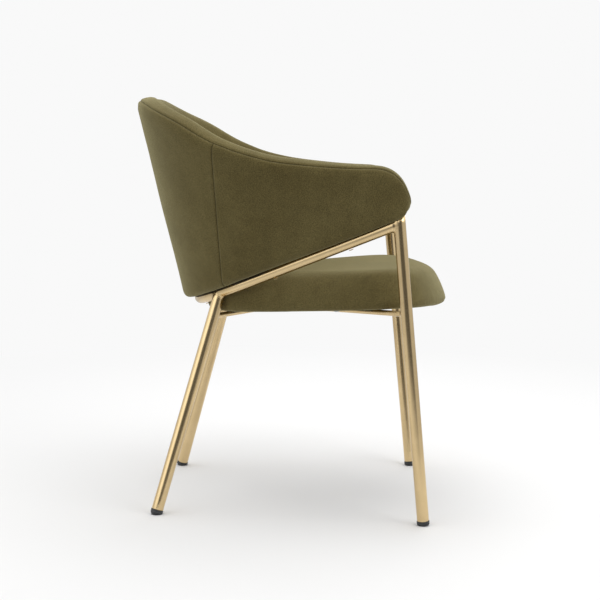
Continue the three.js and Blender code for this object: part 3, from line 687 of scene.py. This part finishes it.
def nearest_on(line_points, p):
    """The point of a polyline that is nearest to p."""
    a, b = line_points[:-1], line_points[1:]
    ab = b - a
    t = np.clip(np.einsum("ij,ij->i", p - a, ab) / np.einsum("ij,ij->i", ab, ab), 0, 1)
    near = a + ab * t[:, None]
    return near[np.argmin(norm(near - p, axis=1))]


def onto_bar(start, direction, line, radius):
    """Where a ray backwards along a direction meets the surface of a bar round a line, by bisection."""
    outside, inside = -6 * radius, 0.0
    for _ in range(30):
        middle = (outside + inside) / 2
        p = start + direction * middle
        if norm(nearest_on(line, p) - p) > radius:
            outside = middle
        else:
            inside = middle
    return start + direction * (outside + inside) / 2


def weld(name, end, direction, radius, target, target_radius, leg):
    """A dressed fillet weld where a bar that runs along direction meets another bar's surface."""
    side, other = frame_across(direction)
    angles = np.linspace(0, 2 * math.pi, RING_SIDES, endpoint=False)
    rings = []
    for angle in angles:
        out = math.cos(angle) * side + math.sin(angle) * other
        corner = onto_bar(end + radius * out, direction, target, target_radius)
        normal = unit(corner - nearest_on(target, corner))
        slide = unit(out - (out @ normal) * normal)
        swell = leg * (1 + 0.07 * math.sin(angle * 23) + 0.05 * math.sin(angle * 9 + 1))
        on_bar = corner - direction * swell + out * WELD_TOE
        beyond = corner + slide * swell
        nearest = nearest_on(target, beyond)
        normal = unit(beyond - nearest)
        on_target = nearest + normal * (target_radius + WELD_TOE)
        face = bezier(on_bar, corner + (out + normal) * WELD_CROWN, on_target, 8)
        roots = [(on_target, normal), (corner, out + normal), (on_bar, out)]
        hidden = [p - inward * WELD_ROOT for p, inward in roots]
        rings.append(np.vstack([face, hidden]))
    rings = np.array(rings)
    columns = rings.shape[1]
    faces = grid_faces(len(rings), columns, wrap_rows=True)
    uvs = np.column_stack([np.tile(np.arange(columns) / 900, len(rings)), np.repeat(angles / 60, columns)])
    place_piece(mesh_object(name, rings.reshape(-1, 3), faces, brass, uvs), "brass")


def lathe(name, profile, start, direction, material, sides=SCREW_SIDES):
    """A turned piece from (radius, height) points along a direction."""
    rings = []
    for radius, rise in profile:
        rings.append(ring_at(start + direction * rise, direction, max(radius, 1e-5), sides))
    return loft(name, rings, material)


def glide(name, node, foot, direction):
    """A push-in glide: turned rim with a soft edge, a parting line and a flat foot."""
    rim = TUBE_RADIUS + GLIDE_PAST_TUBE
    side = [(rim - inset, height) for inset, height in GLIDE_OUTLINE]
    piece = lathe(name, [(0.0, 0.0), *side, (0.0, GLIDE_HEIGHT)], foot, direction, plastic, RING_SIDES)
    data = points_of(piece)
    data[:, 2] = np.maximum(data[:, 2], 0)
    flat = ((data - foot) @ direction) < GLIDE_FACE["depth"]
    data[flat, 2] = np.minimum(data[flat, 2], GLIDE_FACE["height"])
    move_points(piece, data)
    place_piece(piece, "black_plastic", node)


def screw(name, node, head_bottom, up, head, material, slot):
    """A button-head screw with a hexagon socket."""
    radius, height = head["radius"], head["height"]
    socket = radius * 0.42
    profile = [
        (0.0, height * 0.55), (socket, height * 0.55), (socket, 0.00015), (socket + 0.0004, 0.0),
        (radius * 0.62, height * 0.08), (radius * 0.85, height * 0.30), (radius, height * 0.68),
        (radius, height), (0.0, height),
    ]
    place_piece(lathe(name, profile, head_bottom, up, material), slot, node)


CORNERS = [("front", "left"), ("front", "right"), ("rear", "left"), ("rear", "right")]
SIDE = {"left": 1, "right": -1}


def foot_of(end, side):
    foot = FRONT_FOOT if end == "front" else REAR_FOOT
    return foot * vec(SIDE[side], 1, 1)


def top_of(end, side):
    distance = rail_line.half if end == "front" else RAIL_BEND_RADIUS * REAR_JOINT_ANGLE
    return rail_line.at(distance) * vec(SIDE[side], 1, 1)


def seat_base(y):
    past = np.maximum(0, SEAT_FRONT_DROP["from"] - y)
    return SEAT_PLANE["z"] - SEAT_PLANE["slope"] * y - SEAT_FRONT_DROP["rate"] * past * past


SEAT_UP = unit(vec(0, SEAT_PLANE["slope"], 1))
BRACE_TO_SEAT = 0.0006


def brace_height(y):
    return SEAT_PLANE["z"] - SEAT_PLANE["slope"] * y - (BRACE_RADIUS + BRACE_TO_SEAT) / SEAT_UP[2]


def brace_end(end, side):
    foot, top = foot_of(end, side), top_of(end, side)
    below = foot[2] - brace_height(foot[1])
    above = top[2] - brace_height(top[1])
    return foot + (top - foot) * below / (below - above)


def rail_points(count):
    return np.array([rail_line.at(d) for d in np.linspace(-rail_line.half, rail_line.half, count)])


def make_frame():
    rail_path = rail_points(241)
    for end, side in CORNERS:
        corner = f"{end}_{side}"
        foot, top = foot_of(end, side), top_of(end, side)
        direction = unit(top - foot)
        glide("glide_" + corner, "foot_glide_" + corner, foot, direction)
        start = foot + direction * (GLIDE_HEIGHT + GLIDE_TO_TUBE)
        if end == "front":
            past_rail = direction * 2.2 * TUBE_RADIUS
            leg = straight_tube("tube_leg_" + corner, start, top + past_rail, TUBE_RADIUS)
            cut_by_rail_crown(leg, top)
            arm = rail_line.at(rail_line.half) - rail_line.at(rail_line.half - 0.05)
            along, target = unit(arm) * vec(SIDE[side], 1, 1), np.array([foot, top + direction * 0.1])
        else:
            leg = straight_tube("tube_leg_" + corner, start, top, TUBE_RADIUS)
            along, target = direction, rail_path
        weld("weld_rail_" + corner, top, along, TUBE_RADIUS, target, TUBE_RADIUS, WELD_LEG["rail"])
        place_piece(leg, "brass", f"{end}_leg_{side}")
    make_rail()
    make_braces()
    make_screws()


def make_rail():
    overlap = TUBE_RADIUS * 0.4
    distances = np.linspace(-rail_line.half + overlap, rail_line.half - overlap, RAIL_STATIONS)
    rings = []
    for distance in distances:
        along = unit(rail_line.at(distance + 0.001) - rail_line.at(distance - 0.001))
        rings.append(circle(rail_line.at(distance), unit(np.cross(along, RAIL_UP)), RAIL_UP, TUBE_RADIUS))
    place_piece(loft("tube_back_rail", rings, brass, distances), "brass", "back_rail")


def make_braces():
    """One rod runs through from leg to leg; the other is in two halves welded to it where they cross."""
    front_x, rear_x = brace_end("front", "left")[0], brace_end("rear", "left")[0]
    front_right, rear_left = brace_end("front", "right"), brace_end("rear", "left")
    crossing = front_right + (rear_left - front_right) * front_x / (front_x + rear_x)
    long_line = np.array([front_right, rear_left])
    place_piece(straight_tube("rod_brace_long", front_right, rear_left, BRACE_RADIUS), "brass", "brace_long")
    for end, side in (("front", "left"), ("rear", "right")):
        name, start = f"{end}_{side}", brace_end(end, side)
        rod = straight_tube("rod_brace_" + name, start, crossing, BRACE_RADIUS)
        place_piece(rod, "brass", "brace_" + name)
        inward = unit(crossing - start)
        weld("weld_cross_" + name, crossing, inward, BRACE_RADIUS, long_line, BRACE_RADIUS, WELD_LEG["cross"])
    for end, side in CORNERS:
        start = brace_end(end, side)
        outward = unit(start - crossing)
        leg_line = np.array([foot_of(end, side), top_of(end, side)])
        name = f"weld_brace_{end}_{side}"
        weld(name, start, outward, BRACE_RADIUS, leg_line, TUBE_RADIUS, WELD_LEG["brace"])


def make_screws():
    half, rim = WASHER["thickness"] / 2, WASHER["radius"]
    inner, low = rim - 0.0004, half - WASHER["chamfer"]
    washer_profile = [(0.0, -half), (inner, -half), (rim, -low), (rim, low), (inner, half), (0.0, half)]
    for end, side in CORNERS:
        corner = f"{end}_{side}"
        middle = box_middle("seat_washer_" + corner)
        washer = lathe("washer_" + corner, washer_profile, middle, SEAT_UP, zinc)
        place_piece(washer, "zinc", "seat_washer_" + corner)
        under = middle - SEAT_UP * (half + SEAT_HEAD["gap"] + SEAT_HEAD["height"])
        screw("screw_seat_" + corner, "seat_bolt_" + corner, under, SEAT_UP, SEAT_HEAD, zinc, "zinc")
        dress_node(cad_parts["seat_tab_" + corner], brass)
    for side in SIDE:
        for i in (1, 2, 3):
            node = f"shell_bolt_{side}_{i}"
            lowest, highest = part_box(node)
            half_length = (highest[2] - lowest[2]) / RAIL_UP[2] / 2
            under = box_middle(node) - RAIL_UP * (half_length - SHELL_HEAD["above_lowest"])
            screw(f"screw_shell_{side}_{i}", node, under, RAIL_UP, SHELL_HEAD, brass, "brass")


def dress_node(node, material):
    """Gives a CAD node its finish and softened edges, with its shape left alone."""
    node.data.materials.clear()
    node.data.materials.append(material)
    modify(node, "BEVEL", width=EDGE_ROUND, segments=2, limit_method="ANGLE")


# ---- Shell ----
def catmull(values, position):
    """Uniform Catmull-Rom through a list of values, at a position from 0 to 1."""
    x = position * (len(values) - 1)
    i = min(int(x), len(values) - 2)
    t = x - i
    p0, p1 = values[max(i - 1, 0)], values[i]
    p2, p3 = values[i + 1], values[min(i + 2, len(values) - 1)]
    v0, v1 = (p2 - p0) / 2, (p3 - p1) / 2
    return (2 * p1 - 2 * p2 + v0 + v1) * t ** 3 + (3 * p2 - 3 * p1 - 2 * v0 - v1) * t ** 2 + v0 * t + p1


def top_plan():
    """The plan line of the shell's top edge on the +X side, as points and their arc lengths."""
    side_y = TOP_BACK_Y - TOP_CURVE_DEPTH
    angles = np.linspace(math.pi / 2, 0, 721)
    arc = np.column_stack([TOP_HALF_WIDTH * np.cos(angles), side_y + TOP_CURVE_DEPTH * np.sin(angles)])
    points = np.vstack([arc, [TOP_HALF_WIDTH, SHELL_FRONT_Y]])
    steps = norm(np.diff(points, axis=0), axis=1)
    return points, np.concatenate([[0], np.cumsum(steps)])


plan_points, plan_lengths = top_plan()
TOP_LENGTH = plan_lengths[-1]
base_line = SplayedU(
    SHELL_BASE_BEND_RADIUS, SHELL_BASE_BACK_Y, vec(TOP_HALF_WIDTH, SHELL_FRONT_Y + SHELL_BASE_FRONT, 0),
    (TUBE_RADIUS + SHELL_TO_RAIL) / RAIL_UP[2],
)


def plan_at(share):
    along = share * TOP_LENGTH
    return vec(*(np.interp(along, plan_lengths, plan_points[:, i]) for i in (0, 1)))


def shell_station(share):
    """One cross-section's frame at a share of the way along the +X half of the top edge."""
    x, y = plan_at(share)
    nose = min(1, max(0, (SHELL_FRONT_Y + NOSE["length"] - y) / NOSE["length"]))
    nose_base = ARM_HEIGHT - NOSE["height"]
    edge = ARM_HEIGHT + (BACK_HEIGHT - ARM_HEIGHT) * catmull(TOP_EDGE_SHARES, share)
    kept = max(0, 1 - nose ** NOSE["power"]) ** (1 / NOSE["power"])
    top = vec(x, y, nose_base + (edge - nose_base) * kept)
    left = max(0, 1 - (TOP_BACK_Y - y) / RULING_REACH)
    setback = (TOP_BACK_Y - SHELL_BASE_BACK_Y) * left ** RULING_POWER
    distance = base_line.distance_at_y(y - setback)
    base = base_line.at(distance)
    tangent = unit(plan_at(min(share + 0.002, 1)) - plan_at(max(share - 0.002, 0)))
    outward = unit(vec(-tangent[1], tangent[0], 0) + base_line.outward(distance))
    outward[2] = -RAIL_SLOPE * outward[1]
    up = unit(top - base)
    side = unit(outward - up * (outward @ up))
    thickness = SHELL_THICKNESS * math.sqrt(max(0, 1 - nose ** NOSE["roundness"]))
    round_share = smooth_step((base[1] - FOOT_ROUND["from"]) / FOOT_ROUND["length"])
    hang_share = smooth_step((FOOT_HANG["from"] - base[1]) / FOOT_HANG["length"])
    tip = max(0, 1 - (y - SHELL_FRONT_Y) / NOSE_FOOT["length"])
    return {
        "base": base, "up": up, "side": side,
        "height": norm(top - base), "half": max(thickness / 2, 0.001),
        "slant": (outward @ up) / (outward @ side),
        "round": FOOT_ROUND["arm"] + (FOOT_ROUND["back"] - FOOT_ROUND["arm"]) * round_share,
        "hang": FOOT_HANG["back"] + FOOT_HANG["more"] * hang_share,
        "rail_out": -rail_line.outside(vec(base[0], base[1], 0)),
        "tip_lift": NOSE_FOOT["lift"] * (1 - math.sqrt(1 - tip ** 2)),
    }


def section(station):
    """A cross-section as dense (out, up) points from the middle of its foot, with key arc lengths."""
    out, height, slant = station["half"], station["height"], station["slant"]
    foot_out, foot_in = vec(out, slant * out), vec(-out, -slant * out)
    shoulder_out, shoulder_in = vec(out, height), vec(-out, height)

    def corner(before, at, after, size):
        first = at + (before - at) * min(size / norm(before - at), 0.49)
        last = at + (after - at) * min(size / norm(after - at), 0.49)
        return bezier(first, at, last, CORNER_STEPS)

    parts = [
        vec(0, 0)[None], corner(foot_in, foot_out, shoulder_out, station["round"]),
        corner(foot_out, shoulder_out, shoulder_in, out), corner(shoulder_out, shoulder_in, foot_in, out),
        corner(shoulder_in, foot_in, foot_out, BOTTOM_INNER_ROUND), vec(0, 0)[None],
    ]
    points = np.vstack(parts)
    arcs = np.concatenate([[0], np.cumsum(norm(np.diff(points, axis=0), axis=1))])
    ends = np.cumsum([len(part) for part in parts]) - 1
    outer = slice(ends[1], ends[2])
    drop = min(TOP_SEAM_DROP, 0.35 * height)
    seam = np.interp(drop - height, -points[outer, 1][::-1], arcs[outer][::-1])
    keys = {"wrap": arcs[ends[1]], "seam": seam, "ridge": arcs[ends[2]], "inner": arcs[ends[3] + 1]}
    return points, arcs, keys


def section_samples(arcs, keys):
    """Arc lengths of the points to keep: close together beside the top seam, even elsewhere."""
    below = SEAM_STEPS * min(1, 0.8 * (keys["seam"] - keys["wrap"]) / SEAM_STEPS[-1])
    above = SEAM_STEPS * min(1, 0.8 * (keys["ridge"] - keys["seam"]) / SEAM_STEPS[-1])
    return np.concatenate([
        np.linspace(0, keys["wrap"], FOOT_POINTS, endpoint=False),
        np.linspace(keys["wrap"], keys["seam"] - below[-1], OUTER_POINTS, endpoint=False),
        keys["seam"] - below[::-1], [keys["seam"]], keys["seam"] + above,
        np.linspace(keys["seam"] + above[-1], keys["ridge"], TOP_POINTS)[1:],
        np.linspace(keys["ridge"], keys["inner"], INNER_POINTS)[1:],
        np.linspace(keys["inner"], arcs[-1], LAST_POINTS)[1:-1],
    ])


def seam_share():
    """The share of the top edge at which the panel seam reaches the top."""
    shares = np.linspace(0, 1, 2001)
    places = np.array([plan_at(share)[1] for share in shares])
    return shares[np.argmin(np.abs(places - PANEL_SEAM_TOP_Y))]


PANEL_SHARE = seam_share()


def shell_shares():
    """Shares of the +X half of the top edge: close beside the panel seam and round the nose."""
    near = np.concatenate([-SEAM_STEPS[::-1], [0], SEAM_STEPS]) / TOP_LENGTH + PANEL_SHARE
    nose_start = 1 - NOSE["length"] / TOP_LENGTH
    nose = nose_start + (1 - nose_start) * np.sin(np.linspace(0, math.pi / 2, NOSE_ROWS))
    back = np.linspace(0, near[0], BACK_ROWS, endpoint=False)
    side = np.linspace(near[-1], nose_start, SIDE_ROWS, endpoint=False)[1:]
    return np.concatenate([back, near, side, nose])


def shell_grid():
    """Points of the shell's skin, one row per cross-section of the +X half, and its seam distances."""
    shares = shell_shares()
    rows, seam_gap = [], []
    for share in shares:
        station = shell_station(share)
        points, arcs, keys = section(station)
        samples = section_samples(arcs, keys)
        out = np.interp(samples, arcs, points[:, 0])
        up = np.interp(samples, arcs, points[:, 1])
        beside = smooth_step((out - station["rail_out"] - HANG_EDGE["past_rail"]) / HANG_EDGE["blend"])
        up = up - station["hang"] * beside * smooth_step(1 - up / HANG_EDGE["height"])
        up = up + station["tip_lift"] * smooth_step(1 - up / NOSE_FOOT["height"])
        rows.append(station["base"] + np.outer(out, station["side"]) + np.outer(up, station["up"]))
        seam_gap.append(np.abs(samples - keys["seam"]))
    grid, seam_gap = np.array(rows), np.array(seam_gap)
    lean_panel_seam(grid, shares)
    panel_gap = np.abs(shares - PANEL_SHARE)[:, None] * TOP_LENGTH + np.zeros(grid.shape[1])
    panel_gap[:, SEAM_COLUMN + 1:] = 1.0
    return grid, np.minimum(seam_gap, panel_gap)


def lean_panel_seam(grid, shares):
    """Slides the rows near the panel seam along the shell, most at the foot and not at the top seam."""
    window = np.exp(-(((shares - PANEL_SHARE) * TOP_LENGTH) / PANEL_SEAM_LEAN["reach"]) ** 2)
    for k in range(SEAM_COLUMN):
        height_share = max(0, k - FOOT_POINTS) / (SEAM_COLUMN - FOOT_POINTS)
        shift = PANEL_SEAM_LEAN["shift"] * (1 - height_share) * window / TOP_LENGTH
        for axis in range(3):
            grid[:, k, axis] = np.interp(shares - shift, shares, grid[:, k, axis])


def grid_normals(grid):
    """Unit normals of the shell's skin, pointing away from the middle of each cross-section."""
    along = np.gradient(grid, axis=0)
    around = np.roll(grid, -1, 1) - np.roll(grid, 1, 1)
    normals = np.cross(around, along)
    if np.sum((grid - grid.mean(1, keepdims=True)) * normals) < 0:
        normals = -normals
    return normals / np.maximum(norm(normals, axis=2), 1e-12)[..., None]


def soft_waves(points, length, size):
    """Smooth random heights of a given size at every point, with waves of a given length."""
    values = [space_noise.noise(Vector(p) / length) for p in points.reshape(-1, 3)]
    return np.array(values).reshape(points.shape[:-1]) * size


def make_shell():
    """The padded shell in one skin, with grooves, raised lips and puckers along its seams."""
    half_grid, half_gap = shell_grid()
    grid = np.concatenate([half_grid[:0:-1] * vec(-1, 1, 1), half_grid])
    gap = np.concatenate([half_gap[:0:-1], half_gap])
    pucker = 1 + SEAM_GROOVE["pucker"] * soft_waves(grid, SEAM_GROOVE["pucker_length"], 1.0)
    groove = -SEAM_GROOVE["depth"] * np.exp(-gap / SEAM_GROOVE["width"]) * pucker
    lip = SEAM_LIP["height"] * np.exp(-(((gap - SEAM_LIP["at"]) / SEAM_LIP["width"]) ** 2))
    waves = sum(soft_waves(grid, length, size) for length, size in COVER_WAVES)
    skin = grid + grid_normals(grid) * (groove + lip + waves)[..., None]
    shell = loft("shell_upholstery", skin, velvet)
    seam = np.append(np.exp(-((gap / SEAM_LINE_WIDTH) ** 2)).ravel(), [0, 0])
    attribute = shell.data.attributes.new("seam", "FLOAT", "POINT")
    attribute.data.foreach_set("value", seam.astype(np.float32))
    nodes = ["inner_cover", "outer_back_panel", "outer_side_panel_left", "outer_side_panel_right"]
    nodes += ["inner_padding", "outer_padding", "shell_core", "shell_base_rail"]
    nodes += [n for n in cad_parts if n.startswith("shell_insert_")]
    place_piece(shell, "velvet", *nodes)
    make_lining_strip(half_grid)


def make_lining_strip(half_grid):
    """The black lining tape along the middle of the shell's underside, over the rail."""
    foot = half_grid[:-STRIP["bare_nose_rows"], 0]
    line = np.concatenate([foot[:0:-1] * vec(-1, 1, 1), foot])
    along = np.gradient(line, axis=0)
    across = np.cross(along, RAIL_UP)
    across /= norm(across, axis=1)[:, None]
    rings = []
    for p, way in zip(line - RAIL_UP * STRIP["drop"], across * STRIP["width"] / 2):
        rings.append(flat_bar_ring(p, way, RAIL_UP * STRIP["thickness"]))
    strip = loft("shell_lining_strip", rings, lining)
    place_piece(strip, "fibre_cloth", "shell_base_strip")
    length = norm(np.diff(line, axis=0), axis=1).sum()


# ---- Seat ----
def blend_at(t, first, last, a, b):
    return a * (last - t) / (last - first) + b * (t - first) / (last - first)


def centripetal(points, closed, per_segment):
    """A centripetal Catmull-Rom curve through points, as dense points."""
    points = np.asarray(points, float)
    if closed:
        padded = np.vstack([points[-1], points, points[0], points[1]])
    else:
        padded = np.vstack([2 * points[0] - points[1], points, 2 * points[-1] - points[-2]])
    made = []
    for i in range(len(points) if closed else len(points) - 1):
        p0, p1, p2, p3 = padded[i:i + 4]
        t0 = 0
        t1 = t0 + norm(p1 - p0) ** 0.5
        t2 = t1 + norm(p2 - p1) ** 0.5
        t3 = t2 + norm(p3 - p2) ** 0.5
        for t in np.linspace(t1, t2, per_segment, endpoint=False):
            a1, a2 = blend_at(t, t0, t1, p0, p1), blend_at(t, t1, t2, p1, p2)
            a3 = blend_at(t, t2, t3, p2, p3)
            b1, b2 = blend_at(t, t0, t2, a1, a2), blend_at(t, t1, t3, a2, a3)
            made.append(blend_at(t, t1, t2, b1, b2))
    if not closed:
        made.append(points[-1])
    return np.array(made)


def even_loop(points, count):
    """Evenly spaced points round a closed line."""
    closed = np.vstack([points, points[0]])
    arcs = np.concatenate([[0], np.cumsum(norm(np.diff(closed, axis=0), axis=1))])
    wanted = np.linspace(0, arcs[-1], count, endpoint=False)
    return np.column_stack([np.interp(wanted, arcs, closed[:, i]) for i in range(closed.shape[1])])


def seat_outline(count):
    half = [vec(x, y) for x, y in SEAT_HALF_OUTLINE]
    other = [p * vec(-1, 1) for p in half[::-1]]
    loop = [vec(0, SEAT_BACK_Y), *half, vec(0, SEAT_FRONT_Y), *other]
    return even_loop(centripetal(loop, True, 16), count)


SEAT_MIDDLE = vec(0, (SEAT_FRONT_Y + SEAT_BACK_Y) / 2)


def seat_ring(outline, inset, height):
    arm = outline - SEAT_MIDDLE
    length = norm(arm, axis=1)[:, None]
    placed = SEAT_MIDDLE + arm * (1 - inset / length)
    return np.column_stack([placed, seat_base(placed[:, 1]) + height])


def puff(piece, hold):
    """Swells a closed pad by cloth simulation; hold(points) says how much each point may move."""
    bpy.context.view_layer.objects.active = piece
    modify(piece, "REMESH", mode="VOXEL", voxel_size=SWELLING["voxel"])
    bake_modifiers(piece)
    rest = points_of(piece)
    cloth = modify(piece, "CLOTH").settings
    cloth.use_pressure = True
    cloth.uniform_pressure_force = SWELLING["pressure"]
    cloth.effector_weights.gravity = 0
    cloth.quality = 5
    for number in range(1, SWELLING["frames"] + 1):
        bpy.context.scene.frame_set(number)
    bake_modifiers(piece)
    bpy.context.scene.frame_set(1)
    move = points_of(piece) - rest
    length = np.maximum(norm(move, axis=1), 1e-9)
    allowed = np.minimum(1, SWELLING["most"] / length) * hold(rest)
    move_points(piece, rest + move * allowed[:, None])
    modify(piece, "SMOOTH", factor=0.5, iterations=6)
    modify(piece, "SUBSURF", levels=1, render_levels=1)
    bake_modifiers(piece)
    piece.data.shade_smooth()


def bake_modifiers(piece):
    graph = bpy.context.evaluated_depsgraph_get()
    mesh = bpy.data.meshes.new_from_object(piece.evaluated_get(graph))
    piece.modifiers.clear()
    piece.data = mesh


def make_seat():
    outline = seat_outline(SEAT_SIDES["cover"])
    profile = centripetal(SEAT_PROFILE, False, 6)
    rings = [seat_ring(outline, inset + SEAT_SHRINK, height) for inset, height in profile]
    seat = loft("seat_upholstery", rings, velvet)
    puff(seat, seat_hold)
    tee_nuts = [f"seat_tee_nut_{end}_{side}" for end, side in CORNERS]
    place_piece(seat, "velvet", "seat_cover", "seat_foam", "seat_board", *tee_nuts)
    make_dust_cloth()


def seat_hold(points):
    """No swelling on the flat base, all of it from a third of the way up the side."""
    return smooth_step((points[:, 2] - seat_base(points[:, 1])) / SEAT_HOLD_HEIGHT)


def make_dust_cloth():
    """Black lining stretched over the seat's open base, its hem turned under and stapled."""
    outline = seat_outline(SEAT_SIDES["cloth"])
    edge = SEAT_LIP_INSET - DUST_CLOTH["overlap"]
    hem = edge + DUST_CLOTH["hem"]
    profile = [
        (edge, -0.0002), (edge + 0.0008, -0.0012), (hem, -0.0013), (hem + 0.001, -0.0009),
        (0.07, -0.0011), (0.11, -0.0014), (0.16, -0.0015),
    ]
    lower = [seat_ring(outline, inset, drop) for inset, drop in profile]
    for ring in lower:
        ring[:, 2] += soft_waves(ring, DUST_CLOTH["wave_length"], DUST_CLOTH["wave"]) - DUST_CLOTH["sag"]
    upper = [ring + vec(0, 0, DUST_CLOTH["thickness"]) for ring in lower]
    cloth = loft("seat_dust_cloth_sheet", [*lower[::-1], *upper], lining)
    place_piece(cloth, "fibre_cloth", "seat_dust_cloth")
    make_staples(outline, edge)


def make_staples(outline, edge):
    """Staples along the hem: short square wires lying flat on the cloth."""
    places = seat_ring(even_loop(outline, STAPLE["count"]), edge + STAPLE["inset"], -STAPLE["drop"])
    shape = [*grid_faces(len(STAPLE_WIRE), 4), (0, 3, 2, 1), (12, 13, 14, 15)]
    points, faces = [], []
    for i, at in enumerate(places):
        tangent = unit(places[(i + 1) % len(places)] - places[i - 1])
        turned = rng.uniform(-STAPLE["turn"], STAPLE["turn"])
        along = unit(tangent * math.cos(turned) + np.cross(tangent, SEAT_UP) * math.sin(turned))
        wide = np.cross(along, SEAT_UP) * STAPLE["half_width"]
        faces += [tuple(len(points) + corner for corner in face) for face in shape]
        for end, rise in STAPLE_WIRE:
            points += flat_bar_ring(at + along * end + SEAT_UP * rise, wide, SEAT_UP * STAPLE["thickness"])
    place_piece(mesh_object("seat_staples", points, faces, zinc, smooth=False), "zinc")


# ---- Scene ----
bpy.context.scene.view_settings.view_transform = "Standard"
make_camera()
make_world()
make_lights()
make_floor()
velvet, brass, plastic = make_velvet(), make_brass(), make_plastic()
lining, zinc = make_lining(), make_zinc()
make_frame()
make_shell()
make_seat()
